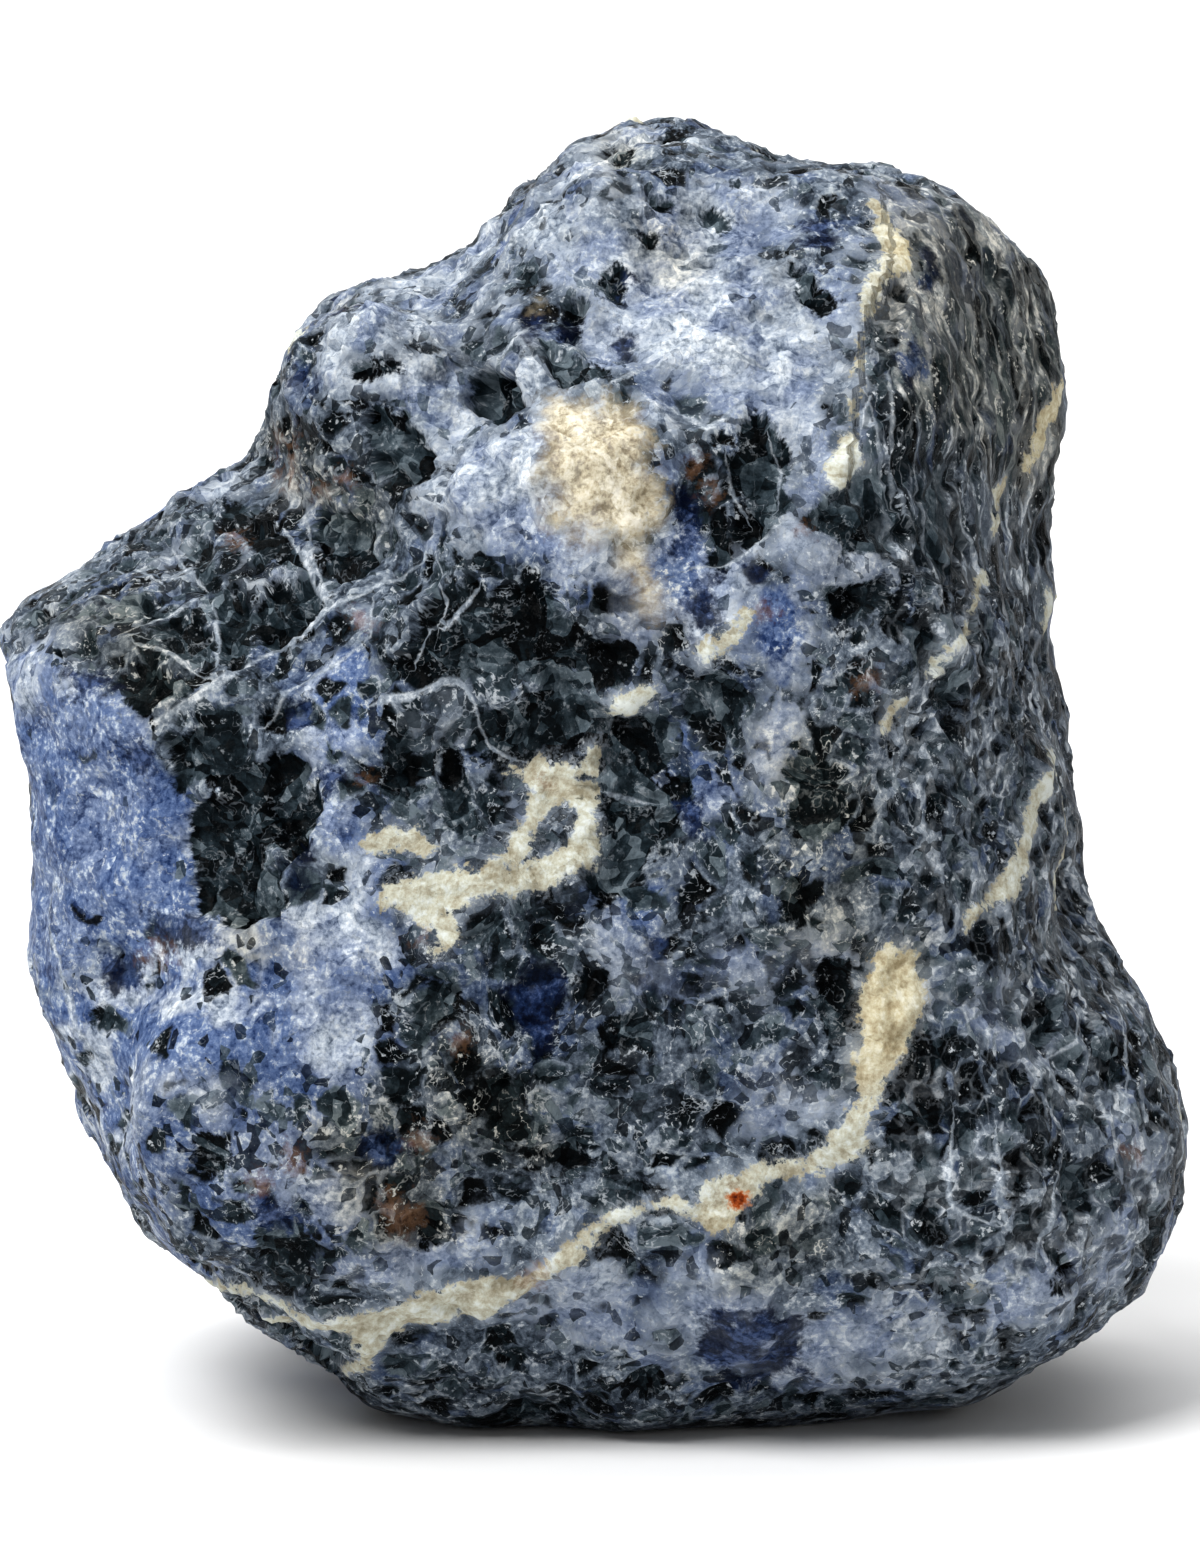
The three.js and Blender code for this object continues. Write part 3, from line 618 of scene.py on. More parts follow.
STREAKED = {
    "right face, high": [(19.6, 88), (34, 90), (40, 72), (37, 60), (40, 46), (36.4, 40), (33.6, 46),
        (32.4, 54), (30, 59), (25, 59.6), (21, 61), (17.4, 66), (18.2, 73), (18.8, 79), (20.2, 81.6),
        (20.8, 84)],
}
CALM = [BLUE["blue face"], BLUE["blue band"], BLUE["face by the boss"]]


def amount(outlines, fade):
    """1 inside outlines and 0 outside them, fading over that many mm on both sides."""
    return smooth(patches(outlines), fade, -fade)


gloom = amount(GLOOM_AND_SHADE.values(), 2.2)
warm = amount(WARM.values(), 2)
calm = amount(CALM, 2.5)
web = amount(WEB.values(), 2.5)
streaked = amount(STREAKED.values(), 0.5)
print("gloomy:", len(GLOOM_AND_SHADE), " warm:", len(WARM), " netted:", len(WEB), " streaked:", len(STREAKED))

# %% [markdown]
# ## Calcite veins
# Calcite filled the cracks of the rock. The wide veins are cream, swell and pinch, and stand a
# little proud because they wear more slowly here. Each line's third number is half its width.

# %% Calcite veins
VEINS = {
    "white vein": [(-15.6, 37.4, 0.3), (-14, 37.8, 1.1), (-12, 38, 1.5), (-10.4, 38.4, 1.3),
        (-8.6, 38.6, 1), (-6.4, 38.9, 0.8), (-4, 39.4, 0.8), (-2.4, 40, 0.9), (-1.2, 41.2, 1.1),
        (-1, 42.6, 0.7), (-1, 44, 0.6), (-1.6, 45.3, 0.9), (-3.2, 46, 1.2), (-4.6, 46.6, 0.7),
        (-6, 46.8, 0.3)],
    "white vein, loop": [(-3.4, 45, 0.9), (-4.8, 43.4, 0.6), (-5.4, 41.8, 0.6), (-6.6, 40.4, 0.6),
        (-8, 39.4, 0.7)],
    "white vein, foot": [(-12, 37.4, 1), (-11.2, 36, 0.9), (-10.8, 34.9, 0.6), (-11.8, 34, 0.3)],
    "white vein, island": [(-16.4, 41.3, 0.5), (-14.8, 41.9, 0.8), (-13.4, 42, 0.8),
        (-12.2, 41.4, 0.4)],
    "white spot": [(1, 51, 0.6), (2, 51.4, 0.9), (3.2, 52.2, 0.6)],
    "small white spot": [(-0.9, 47.1, 0.5), (-0.4, 47.8, 0.5)],
    "big vein, head": [(20.8, 32.5, 1.7), (20.7, 31.4, 2.2), (20.4, 29.8, 2), (19.9, 28, 1.5),
        (19.5, 26.4, 1.4), (19.2, 25, 1), (18.9, 23.4, 0.6), (18.6, 22.4, 0.4)],
    "big vein, elbow": [(18, 22.4, 0.6), (17.6, 21.2, 1.2), (17, 20.2, 1.1), (15.8, 19.2, 0.7),
        (14, 18.6, 0.5), (12, 18.5, 0.6), (10.6, 18.1, 0.8)],
    "big vein, triangle": [(10.6, 17.6, 0.8), (9.4, 16.9, 1.5), (8.2, 16.2, 1.4), (7.2, 15.8, 0.8),
        (8.6, 15, 0.7)],
    "big vein, run": [(6.4, 16.1, 0.25), (5, 16.3, 0.2), (3.6, 16, 0.3), (1.6, 15.4, 0.4),
        (0.4, 14.8, 0.3), (-0.6, 13.8, 0.5), (-1.8, 13, 0.7), (-3, 12.1, 0.5), (-4, 11.2, 0.4),
        (-5, 10.2, 0.3)],
    "low vein": [(-5.4, 10.4, 0.6), (-6.8, 10.1, 1), (-9, 9.4, 1.6), (-11.6, 8.9, 1.6), (-14, 7.9, 1.3),
        (-16, 7.5, 1.3), (-18, 7.7, 0.9), (-19.6, 7.8, 0.5), (-21.4, 8.6, 0.35), (-23.2, 9.9, 0.4),
        (-25, 10.4, 0.5), (-27, 10.8, 0.5), (-29, 11.5, 0.35), (-30.2, 12.4, 0.2)],
    "low vein, fork": [(-16.4, 7, 0.9), (-16, 5.9, 0.7), (-16.8, 4.9, 0.4), (-18.2, 4.5, 0.2)],
    "low blob": [(-23.2, 8.4, 0.5), (-22.2, 8.1, 0.5)],
    "right vein": [(19.4, 86.8, 0.3), (20.2, 85.6, 0.8), (20.8, 84.2, 1.1), (20.9, 82.8, 1),
        (20, 81.6, 0.8), (19.2, 80.4, 0.7), (18.8, 79, 0.4)],
    "right vein, thin": [(18.6, 77.8, 0.15), (18.4, 75.4, 0.35), (18.1, 73.4, 0.12), (18, 71.6, 0.2)],
    "right vein, tail": [(17.9, 70.2, 0.4), (17.6, 69, 0.9), (17, 67.8, 0.9), (16.6, 66.8, 0.3)],
    "edge vein": [(33.2, 74.4, 0.5), (32.3, 72.8, 1), (31.4, 71, 0.8), (30.7, 69, 0.6),
        (30.2, 68, 0.3)],
    "edge spot": [(28.7, 67, 0.4), (28, 65.6, 0.9), (27.6, 64.4, 0.9)],
    "low edge spot": [(31.6, 58.8, 0.4), (31.4, 57.2, 0.6)],
    "slanting vein": [(27.2, 60.6, 0.3), (26.4, 58.4, 0.4), (25.8, 56.6, 0.3), (24.2, 54.6, 0.45),
        (23.7, 53.6, 0.3)],
    "slanting vein, end": [(21.6, 51.8, 0.4), (20.7, 50.8, 0.5), (20.2, 49.6, 0.3)],
    "side vein": [(31.8, 48, 0.4), (31.4, 46, 0.9), (30.6, 43.4, 0.8), (29.9, 41.4, 0.6), (29, 39, 0.9),
        (27.8, 37.7, 0.5), (26, 36.2, 0.5)],
    "crystal edge": [(10.2, 57.8, 0.4), (9.6, 56.6, 0.5), (8.4, 55.7, 0.45), (7.2, 55.2, 0.2)],
    "chips low on the toe": [(26.4, 10.6, 0.25), (26.6, 9.6, 0.2)],
}

vein_mm = np.full(count, np.inf)
for line in VEINS.values():
    away, width, _ = line_distance(line)
    vein_mm = np.minimum(vein_mm, away - width)
print("veins:", len(VEINS))

# %% [markdown]
# ## Pale threads
# Hair cracks show as thin pale threads; the wide ones on the crest of the brow are partly a
# painted highlight along that edge. A plain distance would be blurred by the net, which is wider
# than a thread. So the distance gets a sign, below zero on one side, and the material finds
# where it passes through zero.

# %% Pale threads
THREADS = {
    "long thread": [(-31.4, 50.2, 0.12), (-29.3, 51.5, 0.28), (-24.7, 54.4, 0.3), (-21.5, 56.2, 0.36),
        (-19.2, 58.3, 0.32), (-15.3, 59.9, 0.3), (-12.4, 61.4, 0.12)],
    "branch": [(-19.2, 58.3, 0.25), (-20.4, 60.8, 0.2), (-21.6, 62.8, 0.16), (-22.6, 64, 0.08)],
    "cheek, curve": [(-20.9, 64.8, 0.14), (-20.2, 61.4, 0.16), (-19.4, 59.4, 0.2)],
    "cheek, upper line": [(-21.2, 64.6, 0.12), (-20, 65.6, 0.2), (-18.6, 66.6, 0.12)],
    "cheek, fibre 1": [(-33.6, 56.4, 0.12), (-31, 57.6, 0.16), (-28.4, 59.2, 0.24)],
    "cheek, fibre 2": [(-32.6, 55.6, 0.2), (-30.4, 55, 0.18), (-27.6, 53.4, 0.12)],
    "cheek, fibre 3": [(-30.4, 62.6, 0.12), (-29.4, 61.2, 0.2), (-28, 60, 0.16)],
    "cheek, fibre 4": [(-27.2, 58.2, 0.1), (-27, 56, 0.18), (-27, 54.4, 0.12)],
    "cheek, fibre 5": [(-35.4, 60.6, 0.1), (-33, 61, 0.18), (-31, 60.2, 0.14)],
    "second thread": [(-16.2, 59, 0.16), (-16.4, 56.4, 0.22), (-18, 54.9, 0.25), (-21.9, 52.6, 0.22),
        (-23.6, 50.1, 0.16)],
    "middle thread": [(-16.2, 51.2, 0.12), (-14.8, 51.9, 0.28), (-13, 52.1, 0.26), (-11, 52.9, 0.32),
        (-9.8, 52.8, 0.26), (-8.9, 51.6, 0.18), (-8.6, 50.2, 0.12)],
    "middle thread, curve": [(-8.6, 50.2, 0.06), (-8, 48.5, 0.1), (-6.2, 47.6, 0.14),
        (-4.6, 46.9, 0.1)],
    "web thread": [(-11.4, 61.4, 0.1), (-11.3, 59, 0.16), (-11.4, 57.6, 0.24), (-12.6, 56.9, 0.2),
        (-13.4, 54.6, 0.16)],
    "crossing thread": [(-11.2, 56.8, 0.14), (-10.4, 57.4, 0.22), (-9.6, 58.6, 0.16),
        (-8.8, 59.6, 0.12)],
    "low heart thread": [(0.4, 45.2, 0.12), (2, 44.9, 0.18), (3.4, 44.6, 0.1)],
    "lid of the brow": [(1, 74.4, 0.14), (3.6, 75.4, 0.24), (6.4, 75.2, 0.28), (9, 75.8, 0.24),
        (11, 75.4, 0.3), (13, 74.6, 0.16)],
    "lid, upper": [(2.8, 76.6, 0.12), (5.4, 76.8, 0.2), (8.6, 76.6, 0.22), (10.6, 77.4, 0.16)],
    "lid, lower": [(4.4, 73, 0.14), (6.2, 71.6, 0.2), (7.6, 70.8, 0.3), (8.8, 71.6, 0.22),
        (10.4, 72.8, 0.14)],
    "under the brow": [(6.6, 61, 0.12), (8, 61.2, 0.2), (9.8, 61.6, 0.28), (10.8, 62.8, 0.24),
        (12.4, 64, 0.14)],
    "under the brow, fibre": [(9, 68.6, 0.1), (9.2, 66.4, 0.2), (10, 65, 0.14)],
    "side of the brow": [(12, 70, 0.1), (12.8, 68, 0.18), (12.4, 66, 0.12)],
    "right face 1": [(27, 80.6, 0.12), (27.8, 77.8, 0.24), (28.3, 75, 0.24), (28.9, 73, 0.12)],
    "right face 2": [(26.4, 79, 0.1), (26.5, 75.4, 0.18), (27.1, 71.6, 0.18), (27.2, 67.8, 0.14),
        (26.9, 64.6, 0.1)],
    "right face 3": [(20.3, 75, 0.16), (20.5, 71, 0.2), (20.8, 68, 0.16), (21.4, 65, 0.12)],
    "right face 4": [(22.4, 71, 0.12), (22.2, 67, 0.2), (22.8, 64, 0.24), (23.4, 61, 0.16),
        (24.2, 58.6, 0.2)],
    "right face 5": [(18.8, 73, 0.1), (19.6, 69.8, 0.18), (20.3, 67, 0.18), (20.9, 64.6, 0.1)],
    "right face 6": [(29.6, 79.4, 0.1), (31.4, 77.6, 0.2), (32.4, 75.8, 0.16)],
    "right face 7": [(25.2, 67, 0.12), (25.6, 64.4, 0.2), (26.4, 62.2, 0.16), (27, 60.6, 0.12)],
    "right face 8": [(28.4, 61, 0.12), (29.2, 58.8, 0.2), (29.6, 56.2, 0.14), (30, 53, 0.12)],
    "right face 9": [(30.4, 67.6, 0.1), (30.5, 64, 0.16), (30.2, 60.6, 0.12)],
    "right face 10": [(24.6, 76, 0.1), (24.9, 74, 0.2), (25, 71, 0.14), (24.9, 69, 0.1)],
    "right face 11": [(29.9, 77.6, 0.1), (30, 75, 0.16), (29.6, 72.4, 0.1)],
    "edge line": [(-38.9, 40, 0.15), (-38.7, 36, 0.2), (-37.6, 32.4, 0.22), (-36.6, 28.6, 0.22),
        (-34.8, 25.4, 0.2), (-33.4, 21.4, 0.15), (-31.4, 17, 0.1)],
    "outer edge line": [(-37.8, 33.6, 0.12), (-37.2, 30, 0.2), (-36.2, 27, 0.14)],
    "brow line": [(-5, 84.6, 0.14), (-3.2, 82.6, 0.18), (-1.4, 81.2, 0.1)],
    # Partly painted highlight: wide pale lines along the top edge of the brow's crest.
    "crest of the brow": [(-10.4, 82.2, 0.2), (-8, 83.6, 0.5), (-6, 84.6, 0.7), (-4.6, 85.8, 0.9),
        (-3.2, 87.2, 0.7)],
    "crest of the brow, top": [(-2.2, 88.2, 0.4), (0, 89.9, 0.9), (1.4, 90.8, 0.8), (3, 91.6, 0.4)],
    "rim of the eye": [(-7.4, 75.8, 0.14), (-5.9, 76.9, 0.3), (-5, 76.2, 0.2), (-4.5, 74.6, 0.24),
        (-4.4, 73, 0.3)],
    "ridge of the brow": [(7.4, 88.8, 0.14), (8.8, 89.3, 0.3), (10.2, 89.8, 0.14)],
    "toe strip": [(24.9, 22.6, 0.14), (24.7, 20, 0.36), (24.5, 18, 0.3), (24.7, 16, 0.26),
        (26.4, 14.9, 0.3), (28, 14.6, 0.14)],
    "toe fibre 1": [(27.8, 21, 0.14), (28.2, 18.6, 0.26), (28.2, 16, 0.2), (29, 14.4, 0.16)],
    "toe fibre 2": [(32.8, 19.4, 0.14), (32.2, 17.6, 0.28), (31.8, 15, 0.26), (31, 13, 0.16)],
    "toe fibre 3": [(32.8, 31, 0.1), (33.8, 29.4, 0.2), (33.4, 27.4, 0.16), (31.8, 26.6, 0.12)],
    "toe line": [(35.6, 31.6, 0.1), (36.8, 28.6, 0.16), (37.4, 25, 0.18), (36.8, 22.4, 0.12)],
}

THREAD_ENDS = (1.2, 0.6)
thread_mm = np.full(count, np.inf)
thread_width = np.zeros(count)
for line in THREADS.values():
    away, width, side = line_distance(line)
    closer = away < np.abs(thread_mm)
    thread_mm[closer] = (away * side)[closer]
    thread_width[closer] = (width * smooth(away, *THREAD_ENDS))[closer]
print("threads:", len(THREADS))

# %% [markdown]
# ## Cream bloom and rust
# The boss on the brow is one soft mass of calcite with no sharp edge. A little iron has rusted in
# the hollows, drawn as dabs: across, up and radius. One red spot sits in the big vein.

# %% Cream bloom and rust
CREAM = {
    "boss": [(-3.9, 72.3), (-2.4, 73.2), (0, 73), (2.3, 72.3), (2.8, 70), (3.8, 67), (3.8, 64.4),
        (2.6, 62.8), (0.4, 63.6), (-1.8, 63), (-3.5, 64.2), (-3.8, 67), (-3.9, 70)],
}
FAINT_CREAM = {
    "under the boss": [(0.4, 64), (3.6, 63.6), (4.8, 61), (5.2, 58), (3.2, 56.8), (0.8, 61)],
    "pocket": [(-5.4, 81), (-3.6, 81.4), (-3.4, 79.4), (-5, 79)],
    "left foot": [(-24.8, 35.4), (-22.6, 35.4), (-23, 34.2), (-25, 34.4)],
}
RUST = {
    "notch": (-22, 67.6, 0.5), "notch, middle": (-22.1, 68.8, 0.5), "notch, above": (-22.2, 70, 0.4),
    "notch, right": (-19.6, 66.6, 0.3), "valley": (-18, 67.4, 0.3), "by the boss": (6.6, 68.2, 0.4),
    "under it": (7.8, 66.6, 0.4), "low left": (-13.8, 15.2, 1.1), "low left, by": (-14.7, 16, 0.6),
    "face": (-31.6, 34.2, 0.5), "face, by": (-30.5, 33.6, 0.35), "foot": (-21.7, 19.2, 0.7),
    "foot, by": (-24, 17.6, 0.5), "vein's turn": (-4.9, 10.6, 0.6),
    "vein's turn, above": (-4.2, 11.8, 0.6), "triangle": (9.4, 16.5, 0.5), "toe": (37.4, 19.6, 0.35),
    "thread": (-16.9, 57.5, 0.5), "cheek": (-25.6, 63.3, 0.45), "middle": (-9.6, 27.6, 0.4),
    "band": (-16.2, 46.3, 0.35), "middle, low": (-12.6, 20.8, 0.5), "right": (18.6, 53, 0.5),
    "vein's foot": (-12.8, 35, 0.3), "under the brow": (11.6, 58, 0.35),
    "side of the brow": (14.4, 63.8, 0.3), "thread's end": (-4, 45.9, 0.2),
}
RED_SPOT = (9.8, 16.5, 0.35)
RED_SPOT_FLATTER = 1.3
FAINTER_BY = 1

cream_mm = np.minimum(patches(CREAM.values()), patches(FAINT_CREAM.values()) + FAINTER_BY)
red_x, red_y, red_size = RED_SPOT
red_mm = np.hypot(across - red_x, (up - red_y) * RED_SPOT_FLATTER) - red_size
rust_mm = np.min([np.hypot(across - x, up - y) - size for x, y, size in RUST.values()], axis=0)
print("rust spots:", len(RUST))

# %% [markdown]
# ## The sides that the front doesn't show
# The same rock goes on around the stone. Its marks could be drawn by hand there too. Here slow
# noise through the whole piece makes them, because on those sides the kind of mark matters more
# than its place. They fade in where the surface turns away from the front, along a ragged seam.

# %% Where the front ends
CLOUD_STEPS = (17.3, 9.1, 5.7)
CLOUD_SOFTNESS, CLOUD_FINER, CLOUD_LAYERS = 0.9, 2.1, 3
SEAM_SIZE, SEAM_SEED, SEAM_SWING = 4.5, 20, 0.16
FRONT_FADE = (0.04, 0.16)


def cloud(size, seed):
    """Noise from about -1 to 1 at every point of the net, with lumps of that size in mm."""
    shift = Vector([seed * step for step in CLOUD_STEPS])
    places = [Vector(p / size) + shift for p in points_mm]
    return np.array([noise.fractal(p, CLOUD_SOFTNESS, CLOUD_FINER, CLOUD_LAYERS) for p in places])


front = smooth(toward + SEAM_SWING * cloud(SEAM_SIZE, SEAM_SEED), *FRONT_FADE)
print("points that the front doesn't show:", int((front < 0.5).sum()))

# %% [markdown]
# Each cloud has lumps of its own size, and together they decide where the rock is blue, pale,
# black, gloomy or slate. Where the vein cloud passes through zero, a thin sheet of calcite comes
# out at the surface as a vein. The blue face goes on around the left side, below the cheek.

# %% Clouds through the stone
CLOUD_SIZES = {"blue": 17, "pale": 9, "gloom": 15, "black": 6.5, "deep": 4.2, "vein": 32, "width": 15,
               "slate": 12}
LEFT_FADE, LEFT_TOP_FADE = (-20, -35), (58, 50)
LEFT_MORE = {"blue": 0.55, "gloom": -0.4, "slate": -0.4}
SHEET_SPREAD = 30
SHEET_WIDTH, SHEET_SWELL = 1.3, (-0.25, 0.6)
SHEET_PINCH = 0.35

clouds = {name: cloud(size, seed) for seed, (name, size) in enumerate(CLOUD_SIZES.items(), 1)}
left = smooth(points_mm[:, 0], *LEFT_FADE) * smooth(points_mm[:, 2], *LEFT_TOP_FADE)
for name, more in LEFT_MORE.items():
    clouds[name] += more * left
sheet_width = SHEET_WIDTH * smooth(clouds["width"], *SHEET_SWELL)
sheet_mm = np.abs(clouds["vein"]) * SHEET_SPREAD - sheet_width + SHEET_PINCH
print("clouds:", len(clouds), " points in sheets of calcite:", int((sheet_mm < 0).sum()))

# %% [markdown]
# ## Keeping the marks
# Every mark is now kept at the points of the net: drawn where the front shows it, and
# made by the clouds elsewhere. A distance past a few millimetres says nothing more, so it is cut
# off there.

# %% Keeping the marks
REACH = 6
CLOUD_MM = 12


def keep(name, values):
    """Stores one number at every point of the net, for the relief and the material."""
    attribute = stone.data.attributes.new(name, "FLOAT", "POINT")
    attribute.data.foreach_set("value", values.astype(np.float32))


def around(seen, hidden):
    """The drawn value where the front shows it, and the rock's own everywhere else."""
    return seen * front + hidden * (1 - front)


def hidden_mm(name, rarity):
    """A distance to made-up patches: a higher rarity leaves fewer of them."""
    return CLOUD_MM * (rarity - clouds[name])


marks = {
    "black_mm": around(black_mm, hidden_mm("black", rarity=0.3)),
    "blue_mm": around(blue_mm, hidden_mm("blue", rarity=0.25)),
    "slate_mm": around(slate_mm, hidden_mm("slate", rarity=0.2)),
    "pale_mm": around(pale_mm, hidden_mm("pale", rarity=0.42)),
    "deep_mm": around(deep_mm, hidden_mm("deep", rarity=0.6)),
    "vein_mm": around(np.minimum(vein_mm, REACH), np.minimum(sheet_mm, REACH)),
    "thread_mm": around(thread_mm, REACH),
    "cream_mm": around(cream_mm, REACH),
    "rust_mm": around(rust_mm, hidden_mm("deep", rarity=0.9)),
    "red_mm": around(np.maximum(red_mm, 0), REACH),
}
for name, values in marks.items():
    keep(name, np.clip(values, -REACH, REACH))
print("black share:", round(float((marks["black_mm"] < 0).mean()), 2))

# %% [markdown]
# What fades over a wide area is kept as an amount, and so are widths and depths. The last thing
# kept is each point's own place. The relief will move the points, but grain that reads the place
# from before stays where it was.

# %% Keeping the amounts
amounts = {
    "thread_width": thread_width,
    "black_deep": around(black_deep, 0.4),
    "black_fray": around(black_fray, 1),
    "gloom": around(gloom, smooth(clouds["gloom"], -0.35, 0.05)),
    "web": around(web, 0.7 * smooth(clouds["width"], 0.1, 0.5)),
    "warm": around(warm, 0.5 * smooth(clouds["slate"], 0.1, 0.5)),
    "calm": around(calm, smooth(clouds["blue"], 0.3, 0.5)),
    "streaked": around(streaked, smooth(points_mm[:, 0], 18, 26)),
}
for name, values in amounts.items():
    keep(name, values)
home = stone.data.attributes.new("home_mm", "FLOAT_VECTOR", "POINT")
home.data.foreach_set("vector", points_mm.astype(np.float32).ravel())
print("kept at each point:", len(stone.data.attributes))

# %% [markdown]
# ## Wiring nodes
# Relief and colour both come from node trees. A few helpers make a node, feed its sockets and
# give back its output, so that the trees below read like sums.

# %% Wiring nodes


class Wiring:
    """Writes nodes into one tree, for geometry or for a material."""

    def __init__(self, tree):
        self.tree = tree

    def node(self, kind, inputs, **settings):
        made = self.tree.nodes.new(kind)
        for name, value in settings.items():
            setattr(made, name, value)
        for key, value in inputs.items():
            self.feed(made.inputs[key], value)
        return made

    def feed(self, socket, value):
        if isinstance(value, bpy.types.NodeSocket):
            self.tree.links.new(value, socket)
        else:
            socket.default_value = value

    def math(self, operation, *values):
        return self.node("ShaderNodeMath", dict(enumerate(values)), operation=operation).outputs[0]

    def add(self, a, b):
        return self.math("ADD", a, b)

    def subtract(self, a, b):
        return self.math("SUBTRACT", a, b)

    def times(self, a, b):
        return self.math("MULTIPLY", a, b)

    def most(self, a, b):
        return self.math("MAXIMUM", a, b)

    def ramp(self, value, low, high, start=0.0, end=1.0):
        """start where value is low, end where it is high, and an even curve between them."""
        inputs = {0: value, 1: low, 2: high, 3: start, 4: end}
        return self.node("ShaderNodeMapRange", inputs, interpolation_type="SMOOTHSTEP").outputs[0]

    def vector(self, operation, *values):
        inputs = dict(enumerate(values))
        return self.node("ShaderNodeVectorMath", inputs, operation=operation).outputs[0]

    def scaled(self, place, factor):
        inputs = {0: place, "Scale": factor}
        return self.node("ShaderNodeVectorMath", inputs, operation="SCALE").outputs[0]

    def parts(self, row):
        """The three numbers of a colour or a place."""
        return self.node("ShaderNodeSeparateXYZ", {0: row}).outputs


print("wiring helpers:", sum(callable(helper) for helper in vars(Wiring).values()))

# %% [markdown]
# Rock is noise at many sizes. These helpers give it in millimetres: soft noise, noise that swings
# about zero, noise that bends a place, and cells for grains, whose tilted floors make the flat
# faces of broken crystal.

# %% Wiring noise
MIDDLE = (0.5, 0.5, 0.5)


class RockWiring(Wiring):
    """Adds noise, grains and colour ramps, with sizes in millimetres."""

    def noise(self, place, size, detail=3.0, rough=0.55):
        inputs = {"Vector": place, "Scale": 1 / size, "Detail": detail, "Roughness": rough}
        return self.node("ShaderNodeTexNoise", inputs).outputs[0]

    def swing(self, place, size, reach, detail=3.0, rough=0.55):
        """Noise on both sides of zero, mostly within a quarter of reach."""
        return self.times(self.subtract(self.noise(place, size, detail, rough), 0.5), reach)

    def warp(self, place, size, amount):
        """The place, pushed about by noise of that size."""
        inputs = {"Vector": place, "Scale": 1 / size, "Detail": 2.0}
        push = self.vector("SUBTRACT", self.node("ShaderNodeTexNoise", inputs).outputs[1], MIDDLE)
        return self.vector("ADD", place, self.scaled(push, amount))

    def cells(self, place, size, feature="F1"):
        inputs = {"Vector": place, "Scale": 1 / size}
        return self.node("ShaderNodeTexVoronoi", inputs, feature=feature).outputs

    def facets(self, place, size):
        """Height of flat broken faces, each tilted its own way."""
        cell = self.cells(place, size)
        tilt = self.vector("SUBTRACT", cell["Color"], MIDDLE)
        inputs = {0: tilt, 1: self.vector("SUBTRACT", place, cell["Position"])}
        return self.node("ShaderNodeVectorMath", inputs, operation="DOT_PRODUCT").outputs["Value"]

    def mix(self, part, a, b):
        """Colour a where part is 0 and b where it is 1."""
        return self.node("ShaderNodeMix", {0: part, 6: a, 7: b}, data_type="RGBA").outputs[2]

    def colours(self, value, stops):
        """A colour ramp through [(position, colour), ...]."""
        made = self.node("ShaderNodeValToRGB", {0: value})
        elements = made.color_ramp.elements
        while len(elements) < len(stops):
            elements.new(0.5)
        for element, (position, colour) in zip(elements, stops):
            element.position = position
            element.color = (*colour, 1)
        return made.outputs[0]


print("rock helpers:", sum(callable(helper) for helper in vars(RockWiring).values()))

# %% [markdown]
# ## Bent places
# Grain laid on straight axes would look woven. The places that all finer noise reads are bent
# first, less on the streaked face, where they are also drawn out upright. Geometry nodes do this
# on every point at once, and keep the bent places for the material.

# %% Bent places
ground_tree = bpy.data.node_groups.new("ground", "GeometryNodeTree")
for in_out in ("INPUT", "OUTPUT"):
    ground_tree.interface.new_socket("Geometry", in_out=in_out, socket_type="NodeSocketGeometry")
w = RockWiring(ground_tree)
shape = w.node("NodeGroupInput", {}).outputs[0]


def stored(name, kind="FLOAT"):
    return w.node("GeometryNodeInputNamedAttribute", {"Name": name}, data_type=kind).outputs[0]


def store(name, value, kind="FLOAT"):
    """Keeps a value at every point and passes the shape on."""
    inputs = {"Geometry": shape, "Name": name, "Value": value}
    kept = w.node("GeometryNodeStoreNamedAttribute", inputs, data_type=kind, domain="POINT")
    return kept.outputs[0]


place = stored("home_mm", "FLOAT_VECTOR")
straight = w.ramp(stored("streaked"), 0, 1, 1, 0.45)
bent = w.warp(place, 7, w.times(straight, 3.4))
shape = store("ragged_mm", w.warp(bent, 1.8, w.times(straight, 1.2)), "FLOAT_VECTOR")
ragged = stored("ragged_mm", "FLOAT_VECTOR")
narrow = w.ramp(stored("streaked"), 0.49, 0.51, 1, 0.95)
tall = w.ramp(stored("streaked"), 0.49, 0.51, 1, 0.42)
drawn_out = w.node("ShaderNodeCombineXYZ", {0: narrow, 1: narrow, 2: tall}).outputs[0]
shape = store("drawn_mm", w.vector("MULTIPLY", ragged, drawn_out), "FLOAT_VECTOR")
print("nodes for bent places:", len(ground_tree.nodes))

# %% [markdown]
# ## Ragged edges
# Nothing in rock ends in a clean line. Before anything uses the marks, noise is added to each
# distance, which breaks its outline into bays and islands. Each mark gets a noise of its own so
# that the edges don't all bend together. The table gives its size and reach.

# %% Ragged edges
FRAY = {"blue_mm": (4, 11), "slate_mm": (3.4, 10), "deep_mm": (1.9, 5), "pale_mm": (3, 10),
        "cream_mm": (2.6, 5), "vein_mm": (1.5, 2.6), "rust_mm": (1, 4)}
WIDE_BAYS = ("blue_mm", "slate_mm", "pale_mm")
WIDER = 2.3
BLACK_FRAY = (2.4, 6)

